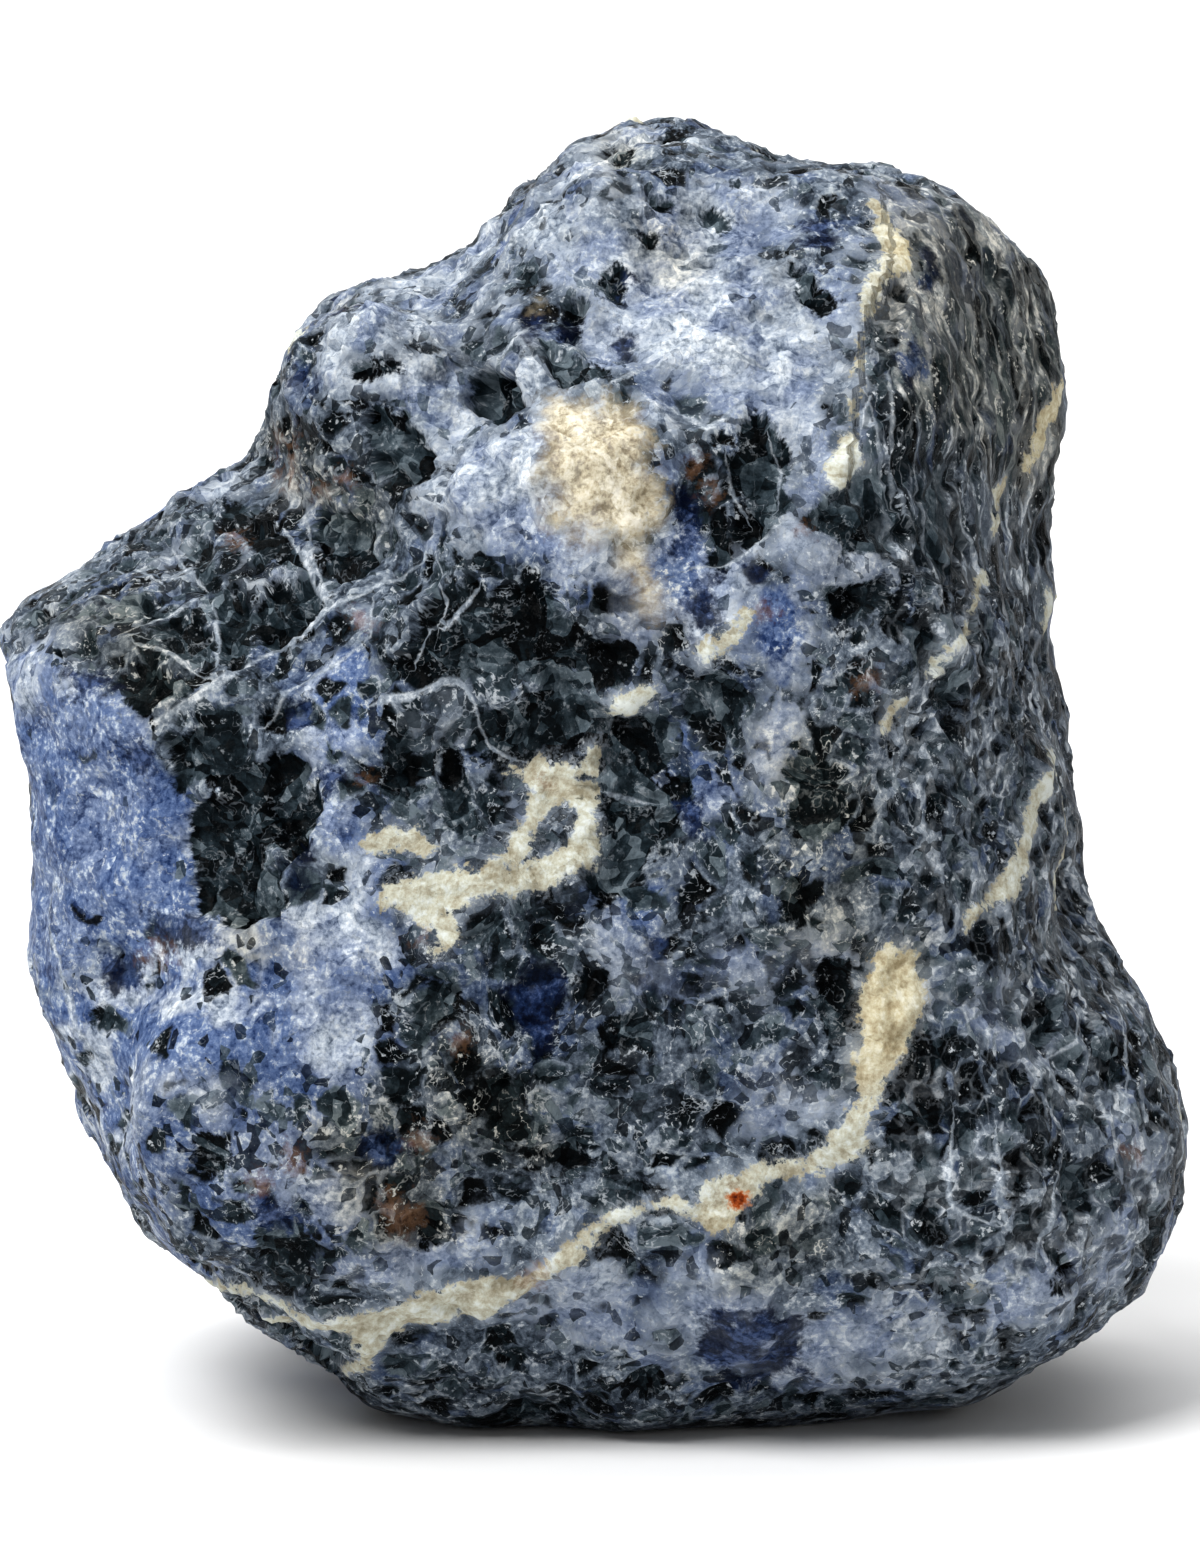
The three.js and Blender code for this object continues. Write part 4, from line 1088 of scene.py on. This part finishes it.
for seed, (name, (size, reach)) in enumerate(FRAY.items(), 1):
    own_place = w.vector("ADD", place, (seed * 13.0, seed * 29.0, seed * 7.0))
    edge = w.add(stored(name), w.swing(own_place, size, reach, 3, 0.6))
    if name in WIDE_BAYS:
        edge = w.add(edge, w.swing(own_place, size * WIDER, reach, 1))
    shape = store(name, edge)
black_edge = w.times(w.swing(place, *BLACK_FRAY, 3, 0.6), stored("black_fray"))
shape = store("black_mm", w.add(stored("black_mm"), black_edge))
print("marks with ragged edges:", len(FRAY) + 1)

# %% [markdown]
# ## Share of dark grains
# From place to place the rock holds more or fewer black grains: more in the gloom and where it is
# netted, fewer in white, blue and slate. Two slow noises also vary how patchy and how tinted it
# is. All three are slow enough to be kept at the points of the net.

# %% Share of dark grains
TINT_SHIFT = (40.0, 10.0, 5.0)

shape = store("patchy", w.ramp(w.noise(place, 4.5, 3, 0.6), 0.36, 0.64))
tint_place = w.vector("ADD", place, TINT_SHIFT)
shape = store("tint", w.ramp(w.noise(tint_place, 3.4, 3, 0.6), 0.36, 0.64))
is_pale = w.ramp(stored("pale_mm"), 1.5, -1.5)
is_blue = w.ramp(stored("blue_mm"), 1, -1)
share = w.subtract(w.ramp(stored("gloom"), 0, 1, 0.4, 0.78), w.times(is_pale, 0.4))
share = w.subtract(share, w.times(is_blue, w.ramp(stored("calm"), 0, 1, 0.2, 0.36)))
share = w.subtract(share, w.ramp(stored("slate_mm"), 1, -1, 0, 0.22))
share = w.add(share, w.ramp(w.most(stored("web"), stored("streaked")), 0, 1, 0, 0.14))
shape = store("dark_share", share)
print("nodes so far:", len(ground_tree.nodes))

# %% [markdown]
# ## Relief
# Worn rock is never even: chips have left shallow bowls, black patches are broken lower, calcite
# stands proud, and grain shows all over. A displacement in the material would be lost in a copy
# of the mesh, so geometry nodes move the points of the net and the result is kept as the mesh.
# Sizes and heights are in millimetres.

# %% Heights
TONE = 2.4
GRAIN = 2.3
CRUMB = 1.2
BOWL = 4.6
LUMP = 6.5

broken = w.ramp(stored("black_mm"), 0.3, -0.4)
rough = w.times(w.ramp(stored("blue_mm"), -1, 1, 0.45, 1), w.ramp(stored("web"), 0, 1, 1, 0.7))
rough = w.times(rough, w.ramp(stored("streaked"), 0, 1, 1, 0.5))
lumps = w.swing(place, LUMP, 2, 2)
tone = w.swing(ragged, TONE, 1, 3, 0.68)
grain = w.times(w.times(tone, w.ramp(is_pale, 0, 1, 1.7, 2.2)), rough)
bowls = w.ramp(w.cells(ragged, BOWL)["Distance"], 0.1, 0.9, -0.2, 0.2)
sharpness = w.ramp(w.most(broken, w.times(is_pale, 0.4)), 0, 1, 0.12, 0.75)
large_faces = w.times(w.facets(ragged, GRAIN), sharpness)
small_faces = w.times(w.facets(ragged, CRUMB), w.ramp(broken, 0, 1, 0.08, 0.45))
print("nodes so far:", len(ground_tree.nodes))

# %% [markdown]
# Single dark grains have fallen out and left pits. A grain is chosen by its own random number,
# the same that darkens it in the material, so pits and dark grains fall in the same places. The
# foot isn't moved, so that the stone still rests on its flat spot.

# %% Moving the net
PIT = 0.3
FOOT_STILL, FOOT_FREE = 0.2, 4

chosen = w.ramp(w.subtract(share, w.parts(w.cells(ragged, GRAIN)["Color"])[1]), 0, 0.04)
grain_rim = w.cells(ragged, GRAIN, "DISTANCE_TO_EDGE")["Distance"]
from_rim = w.subtract(grain_rim, w.times(tone, 0.5))
pits = w.times(w.times(chosen, w.ramp(from_rim, 0.02, 0.32)), PIT)
sunk = w.times(broken, stored("black_deep"))
proud = w.ramp(stored("vein_mm"), 0.6, -0.7, 0, 0.22)
height = w.add(w.add(grain, lumps), w.add(w.times(bowls, rough), proud))
height = w.add(height, w.times(w.subtract(w.add(large_faces, small_faces), pits), rough))
height = w.subtract(height, sunk)

settled = w.ramp(w.parts(place)[2], FOOT_STILL, FOOT_FREE)
outward = w.node("GeometryNodeInputNormal", {}).outputs[0]
move = w.scaled(outward, w.times(w.times(height, settled), MM))
moved = w.node("GeometryNodeSetPosition", {"Geometry": shape, "Offset": move}).outputs[0]
w.node("NodeGroupOutput", {0: moved})

ground = stone.modifiers.new("ground", "NODES")
ground.node_group = ground_tree
fine_skin = evaluated_copy(stone, "fine_skin")
bpy.data.objects.remove(stone)
print("nodes for the relief:", len(ground_tree.nodes))

# %% [markdown]
# ## A lighter mesh
# A shared part should carry no more than 200,000 triangles, and the fine net has a quarter more.
# A coarser net would blur the marks on the best side, so only the other sides are thinned: edges
# collapse there first where the rock is flattest. Then no point may be below the floor.

# %% A lighter mesh
MOST_TRIANGLES = 198_000


def triangles_in(mesh):
    return sum(len(face.vertices) - 2 for face in mesh.polygons)


out_of_sight = fine_skin.vertex_groups.new(name="out of sight")
out_of_sight.add(np.flatnonzero(front < 0.5).tolist(), 1, "REPLACE")
thinning = fine_skin.modifiers.new("thinning", "DECIMATE")
thinning.vertex_group = out_of_sight.name
thinning.ratio = MOST_TRIANGLES / triangles_in(fine_skin.data)
skin = evaluated_copy(fine_skin, "rough_sodalite")
print("triangles:", triangles_in(fine_skin.data), "thinned to", triangles_in(skin.data))
bpy.data.objects.remove(fine_skin)

foot = rows_of(skin.data.vertices, "co")
foot[:, 2] = np.maximum(foot[:, 2], 0)
skin.data.vertices.foreach_set("co", foot.ravel())
skin.data.update()
skin.data.shade_smooth()
print("points set down on the floor:", int((foot[:, 2] == 0).sum()))

# %% [markdown]
# ## The rock's material
# Grains of sodalite, from black through deep blue to pale blue, sit in a web of white feldspar.
# An image could be wrapped around the stone, but it would blur and show seams. Noise that is
# solid through the piece has no seams, and grain of any size can be added to it. First come the
# kept marks and a few noises and grains that every colour below shares.

# %% The rock's material
FINE = 0.42
CHIP = 0.8
MESH = 1.7
WISP = 1.7
WISP_SHIFT = (9.0, 4.0, 7.0)

rock = bpy.data.materials.new("sodalite rock")
rock.use_nodes = True
shader = rock.node_tree.nodes["Principled BSDF"]
w = RockWiring(rock.node_tree)


def here(name, output="Fac"):
    return w.node("ShaderNodeAttribute", {}, attribute_name=name).outputs[output]


place = here("home_mm", "Vector")
ragged = here("drawn_mm", "Vector")
share = here("dark_share")
patchy_here = here("patchy")
tint_here = here("tint")
web_here = here("web")
calm_here = here("calm")
gloom_and_shade_here = here("gloom")
warm_here = here("warm")
streaked_here = here("streaked")
netted = w.most(web_here, streaked_here)

fine_swing = w.subtract(w.noise(place, FINE, 3, 0.65), 0.5)
tone_swing = w.subtract(w.noise(ragged, TONE, 6, 0.68), 0.5)
wisp_place = w.vector("ADD", ragged, WISP_SHIFT)
wisp_swing = w.math("ABSOLUTE", w.swing(wisp_place, WISP, 1, 3, 0.6))
grain_random = w.parts(w.cells(ragged, GRAIN)["Color"])
grain_edge = w.cells(ragged, GRAIN, "DISTANCE_TO_EDGE")["Distance"]
bits_random = w.parts(w.cells(ragged, CHIP)["Color"])
mesh_edge = w.cells(ragged, MESH, "DISTANCE_TO_EDGE")["Distance"]
print("nodes so far:", len(rock.node_tree.nodes))

# %% [markdown]
# Two helpers make the rest: one blends noise and random grains into a number for a colour ramp,
# and the other turns a kept distance into an area whose edge crumbles into fine grains.

# %% Blending and fraying


def blend(tone_part, fine_part, bits_part, grain_part, bit=0, grain=0):
    """A number around 0.5 made of slow noise, fine noise, small chips and whole grains."""
    value = w.add(w.times(tone_swing, tone_part), w.times(fine_swing, fine_part))
    value = w.add(value, w.times(w.subtract(bits_random[bit], 0.5), bits_part))
    return w.add(value, w.add(w.times(w.subtract(grain_random[grain], 0.5), grain_part), 0.5))


def frayed(name, soft, fine_reach):
    """1 inside a mark and 0 outside it, with an edge broken into fine grains."""
    return w.ramp(w.add(here(name), w.times(fine_swing, fine_reach)), soft, -soft)


is_blue = frayed("blue_mm", 1.2, 3)
is_slate = frayed("slate_mm", 1.2, 4)
is_deep = frayed("deep_mm", 0.5, 2)
is_pale = frayed("pale_mm", 1.8, 5)
is_black = frayed("black_mm", 0.2, 1.4)
is_vein = frayed("vein_mm", 0.16, 1.8)
is_cream = frayed("cream_mm", 1.3, 3)
is_rusty = frayed("rust_mm", 0.7, 4)
print("nodes so far:", len(rock.node_tree.nodes))

# %% [markdown]
# ## Grey, blue and white rock
# The ground of the colour. Most of the rock is a mix of blue-grey grains. Blue areas, slate and
# white are laid over it, each mottled with its neighbours so that none is a flat paint. Then the
# colour is darkened as painted shade in the gloomy areas and on the streaked right face.

# %% Grey, blue and white rock
GREYS = [(0.26, (0.008, 0.012, 0.018)), (0.4, (0.034, 0.046, 0.064)), (0.52, (0.08, 0.102, 0.134)),
         (0.64, (0.155, 0.187, 0.23)), (0.8, (0.32, 0.36, 0.39))]
BLUES = [(0.24, (0.008, 0.02, 0.07)), (0.38, (0.038, 0.066, 0.155)), (0.52, (0.073, 0.114, 0.23)),
         (0.64, (0.14, 0.192, 0.315)), (0.78, (0.45, 0.51, 0.58))]
PALES = [(0.22, (0.07, 0.092, 0.13)), (0.36, (0.21, 0.25, 0.305)), (0.48, (0.345, 0.39, 0.45)),
         (0.62, (0.5, 0.545, 0.59)), (0.8, (0.78, 0.8, 0.81))]
SLATE_GREY = (0.17, 0.205, 0.26, 1)

value = blend(0.85, 0.8, 0.22, 0.2)
calmer = w.times(w.subtract(value, 0.5), w.ramp(netted, 0, 1, 1, 0.8))
greys = w.colours(w.add(calmer, 0.5), GREYS)
blues = w.colours(blend(0.6, 1, 0.25, 0.1, bit=1), BLUES)
pales = w.colours(blend(0.7, 1, 0.24, 0.1, bit=1), PALES)
slates = w.mix(0.4, pales, SLATE_GREY)

mottle = w.times(w.ramp(patchy_here, 0.25, 0.8), w.ramp(calm_here, 0, 1, 0.85, 0.12))
mottle = w.times(mottle, w.ramp(gloom_and_shade_here, 0, 1, 1, 0.3))
pale_share = w.times(w.ramp(patchy_here, 0, 0.7, 0.5, 1), w.ramp(bits_random[2], 0.1, 0.4, 0.5, 1))
colour = w.mix(w.times(w.ramp(tint_here, 0.7, 1), 0.4), greys, blues)
colour = w.mix(is_slate, colour, w.mix(w.ramp(tint_here, 0, 1, 0.2, 0.6), slates, blues))
colour = w.mix(is_blue, colour, w.mix(mottle, blues, pales))
tinted_pales = w.mix(w.ramp(tint_here, 0.2, 1, 0, 0.6), pales, blues)
colour = w.mix(w.times(is_pale, pale_share), colour, tinted_pales)
# Painted shade: darker colour in the gloomy areas and on the streaked right face.
shade = w.times(w.ramp(gloom_and_shade_here, 0, 1, 1, 0.78), w.ramp(streaked_here, 0, 1, 1, 0.76))
colour = w.scaled(colour, shade)
print("nodes so far:", len(rock.node_tree.nodes))

# %% [markdown]
# ## Dark grains
# Round-cornered grains, more of them where the rock is gloomy and fewer where it is pale or blue,
# with a few small chips between. They share their near-blacks with the black patches.

# %% Dark grains
BLACKS = [(0.26, (0.0003, 0.0006, 0.0008)), (0.46, (0.0015, 0.003, 0.004)), (0.6, (0.0075, 0.013, 0.017)),
          (0.72, (0.027, 0.04, 0.05)), (0.88, (0.1, 0.128, 0.148))]

rim = w.add(w.subtract(grain_edge, w.times(tone_swing, 0.5)), w.times(fine_swing, 0.15))
rim_width = w.add(w.times(w.times(web_here, patchy_here), 0.1), 0.04)
rim_soft = w.ramp(web_here, 0, 1, 0.12, 0.14)
chosen = w.ramp(w.subtract(share, grain_random[1]), 0, 0.04)
dark_grain = w.times(chosen, w.ramp(w.subtract(rim, rim_width), 0, rim_soft))
chip_share = w.add(w.times(share, 0.45), w.times(is_pale, 0.05))
small_grain = w.ramp(w.subtract(chip_share, bits_random[1]), 0, 0.03)
fainter = w.ramp(w.most(is_slate, is_pale), 0, 1, 1, 0.72)
grains = w.times(w.most(dark_grain, w.times(small_grain, 0.85)), fainter)
black_value = blend(0.5, 0.4, 0.34, 0.5, bit=2, grain=2)
black_value = w.subtract(black_value, w.times(w.subtract(grain_edge, 0.2), 0.25))
colour = w.mix(w.most(is_black, grains), colour, w.colours(black_value, BLACKS))
print("nodes so far:", len(rock.node_tree.nodes))

# %% [markdown]
# ## The pale web
# Feldspar fills the gaps between the grains. It shows as wisps, where a noise passes through
# zero, as a mesh of lines on the toe and the right face, and as single flecks. The flecks are
# partly feldspar and partly painted glints, since the crystal's own sheen is kept low.

# %% The pale web
WEB_GREYS = [(0.32, (0.09, 0.11, 0.135)), (0.5, (0.2, 0.23, 0.265)), (0.68, (0.46, 0.49, 0.52))]
THINNEST = 0.001

wisp_width = w.add(w.ramp(tone_swing, -0.1, 0.12, 0, 0.03), w.times(fine_swing, 0.06))
wisp_width = w.most(wisp_width, THINNEST)
wisps = w.ramp(wisp_swing, w.times(wisp_width, 0.3), wisp_width, 1, 0)
wisps = w.times(w.times(wisps, w.ramp(patchy_here, 0, 1, 0.3, 0.7)), w.ramp(netted, 0, 1, 1, 0.35))
# Pale flecks: partly feldspar specks, partly painted glints on the crystals.
flecks_and_glints = w.ramp(blend(0.3, 1, 0.3, 0), 0.68, 0.76)
mesh_gap = w.add(mesh_edge, w.add(w.times(fine_swing, 0.3), w.times(tone_swing, 0.35)))
mesh_width = w.ramp(patchy_here, 0.2, 0.9, -0.03, 0.13)
mesh_line = w.ramp(w.subtract(mesh_width, mesh_gap), -0.07, 0.04)
mesh_line = w.times(mesh_line, w.times(netted, w.ramp(grains, 0, 1, 1, 0.25)))
web_part = w.most(w.most(wisps, mesh_line), w.times(flecks_and_glints, 0.7))
web_part = w.times(web_part, w.ramp(is_black, 0, 1, 1, 0.38))
brightness = w.ramp(streaked_here, 0, 1, w.ramp(web_here, 0, 1, 1, 1.15), 1.25)
web_colour = w.scaled(w.colours(blend(0, 1, 0.2, 0, bit=2), WEB_GREYS), brightness)
colour = w.mix(web_part, colour, web_colour)
print("nodes so far:", len(rock.node_tree.nodes))

# %% [markdown]
# ## Deep blue crystals and pale threads
# The crystals are laid over the web because they are single and clean. A thread is thin where the
# slow noise is low and breaks off there, as a healed crack does.

# %% Deep blue crystals and pale threads
DEEPS = [(0.38, (0.0012, 0.003, 0.012)), (0.54, (0.006, 0.014, 0.046)), (0.7, (0.034, 0.058, 0.14))]

deep_part = w.times(is_deep, w.ramp(patchy_here, 0, 0.6, 0.5, 0.92))
colour = w.mix(deep_part, colour, w.colours(value, DEEPS))
thread_gap = w.math("ABSOLUTE", w.add(here("thread_mm"), w.times(tone_swing, 0.8)))
thread_gap = w.add(thread_gap, w.times(fine_swing, 0.45))
thread_wide = w.times(here("thread_width"), w.ramp(tone_swing, -0.12, 0.08, 0.35, 1.1))
is_thread = w.ramp(w.subtract(thread_wide, thread_gap), -0.08, 0.1)
is_thread = w.times(is_thread, w.ramp(streaked_here, 0, 1, 1, 0.6))
thread_part = w.times(is_thread, w.ramp(patchy_here, 0, 1, 0.6, 0.85))
colour = w.mix(thread_part, colour, w.scaled(web_colour, 1.3))
print("nodes so far:", len(rock.node_tree.nodes))

# %% [markdown]
# ## Calcite and rust
# Veins and boss share one cream, a little greener and cooler in the veins. Beside a vein the rock
# is bleached, and iron warms whole areas before the rust itself is laid on.

# %% Calcite and rust
CREAMS = [(0.3, (0.33, 0.27, 0.17)), (0.42, (0.47, 0.41, 0.29)), (0.53, (0.6, 0.555, 0.42)),
          (0.66, (0.74, 0.72, 0.63))]
RUSTS = [(0.3, (0.06, 0.03, 0.018)), (0.7, (0.36, 0.19, 0.1))]
REDS = [(0, (0.05, 0.006, 0.003)), (0.25, (0.26, 0.045, 0.008)), (0.6, (0.5, 0.2, 0.07))]
NO_TINT, WARM_TINT = (1, 1, 1, 1), (1.1, 1.0, 0.84, 1)
COOL_VEIN, WARM_VEIN = (0.74, 0.8, 0.86, 1), (0.84, 0.82, 0.73, 1)
BOSS_TINT = (0.93, 0.9, 0.86)

colour = w.mix(w.times(frayed("vein_mm", 0.9, 5), 0.5), colour, pales)
colour = w.vector("MULTIPLY", colour, w.mix(warm_here, NO_TINT, WARM_TINT))
creams = w.colours(blend(1, 0.65, 0.1, 0), CREAMS)
crumbling = w.ramp(w.add(tone_swing, w.times(fine_swing, 0.6)), -0.12, 0.06, 0.6, 0.97)
colour = w.mix(w.times(is_cream, crumbling), colour, w.vector("MULTIPLY", creams, BOSS_TINT))
vein_tint = w.mix(warm_here, COOL_VEIN, WARM_VEIN)
colour = w.mix(is_vein, colour, w.vector("MULTIPLY", creams, vein_tint))
rusts = w.colours(w.add(fine_swing, 0.5), RUSTS)
colour = w.mix(w.times(is_rusty, 0.45), colour, rusts)
red_gap = here("red_mm")
reds = w.colours(w.add(red_gap, w.times(fine_swing, 1.2)), REDS)
is_red = w.ramp(w.add(red_gap, w.times(fine_swing, 1.5)), 0.8, 0.3)
colour = w.mix(is_red, colour, reds)
w.feed(shader.inputs["Base Color"], colour)
print("nodes so far:", len(rock.node_tree.nodes))

# %% [markdown]
# ## Polish and fine grain
# Worn crystal is smoother than the feldspar and calcite around it. Grain finer than the net is
# left to a bump, which is too small to show at the stone's edge. Then the skin gets its material
# and takes the packed stone's place.

# %% Polish and fine grain
SMOOTHEST, DULLEST = 0.38, 0.62
SHEEN_OF_CRYSTAL = 0.02
BUMP_STRENGTH = 0.8

dull = w.most(w.most(web_part, is_vein), w.most(is_pale, is_cream))
w.feed(shader.inputs["Roughness"], w.ramp(dull, 0, 1, SMOOTHEST, DULLEST))
shader.inputs["Specular IOR Level"].default_value = SHEEN_OF_CRYSTAL
bumps = w.add(w.times(w.noise(place, 0.5, 3, 0.65), 0.22), w.times(w.facets(ragged, CHIP), 0.4))
bump = w.node("ShaderNodeBump", {"Height": bumps, "Distance": MM, "Strength": BUMP_STRENGTH})
w.feed(shader.inputs["Normal"], bump.outputs[0])

skin.data.materials.clear()
skin.data.materials.append(rock)
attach(skin, "root")
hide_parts("sodalite")
print("nodes in the rock:", len(rock.node_tree.nodes))

# %% [markdown]
# ## The floor
# A wide pale sweep gives the stone something to stand on and no horizon. A plane and a wall would
# show a line where they meet, so the sweep bends up behind in a quarter circle. Sizes in metres.

# %% The floor
SWEEP_WIDE = 6.0
SWEEP_FRONT = -2.0
SWEEP_BACK = 1.6
SWEEP_TALL = 2.4
SWEEP_ROUND = 0.8
SWEEP_TURNS = 24
PAPER = (0.86, 0.86, 0.86, 1)
PAPER_ROUGHNESS = 0.9

profile = [(SWEEP_FRONT, 0)]
for i in range(SWEEP_TURNS + 1):
    angle = math.pi / 2 * i / SWEEP_TURNS
    back = SWEEP_BACK - SWEEP_ROUND + SWEEP_ROUND * math.sin(angle)
    profile.append((back, SWEEP_ROUND * (1 - math.cos(angle))))
profile.append((SWEEP_BACK, SWEEP_TALL))
sweep_mesh = bmesh.new()
sides = (-SWEEP_WIDE / 2, SWEEP_WIDE / 2)
left_row, right_row = [[sweep_mesh.verts.new((x, y, z)) for y, z in profile] for x in sides]
for i in range(len(profile) - 1):
    sweep_mesh.faces.new((left_row[i], right_row[i], right_row[i + 1], left_row[i + 1]))
sweep_data = bpy.data.meshes.new("sweep")
sweep_mesh.to_mesh(sweep_data)
sweep_mesh.free()
sweep_data.shade_smooth()
sweep = bpy.data.objects.new("sweep", sweep_data)
bpy.context.scene.collection.objects.link(sweep)
paper = bpy.data.materials.new("pale paper")
paper.use_nodes = True
paper_shader = paper.node_tree.nodes["Principled BSDF"]
paper_shader.inputs["Base Color"].default_value = PAPER
paper_shader.inputs["Roughness"].default_value = PAPER_ROUGHNESS
sweep.data.materials.append(paper)
print("strips in the sweep:", len(sweep_data.polygons))

# %% [markdown]
# ## The light
# A large soft light from the upper left shows the relief, a weaker one from the right keeps the
# far face readable, one washes the sweep behind, and the pale surroundings fill in the rest.

# %% The light
WALL_MIDDLE = Vector((0, SWEEP_BACK, 0.4))
SURROUNDINGS = (1, 1, 1, 1)
SURROUNDINGS_STRENGTH = 0.22


def area_light(name, azimuth, rise, away, size, watts, aim=CAMERA_AIM):
    """A square soft light that looks at aim."""
    data = bpy.data.lights.new(name, "AREA")
    data.size = size
    data.energy = watts
    light = bpy.data.objects.new(name, data)
    bpy.context.scene.collection.objects.link(light)
    turn, tilt = math.radians(azimuth), math.radians(rise)
    level = math.cos(tilt)
    away_from = Vector((math.sin(turn) * level, -math.cos(turn) * level, math.sin(tilt)))
    light.location = aim + away_from * away
    light.rotation_euler = away_from.to_track_quat("Z", "Y").to_euler()


area_light("window", azimuth=-38, rise=52, away=0.9, size=0.5, watts=11)
area_light("fill", azimuth=45, rise=25, away=1.1, size=0.9, watts=1.0)
area_light("backdrop", azimuth=0, rise=40, away=1.5, size=1.5, watts=26, aim=WALL_MIDDLE)

world = bpy.data.worlds.new("surroundings")
bpy.context.scene.world = world
world.use_nodes = True
background = world.node_tree.nodes["Background"]
background.inputs["Color"].default_value = SURROUNDINGS
background.inputs["Strength"].default_value = SURROUNDINGS_STRENGTH
bpy.context.scene.view_settings.view_transform = "Standard"

# %% [markdown]
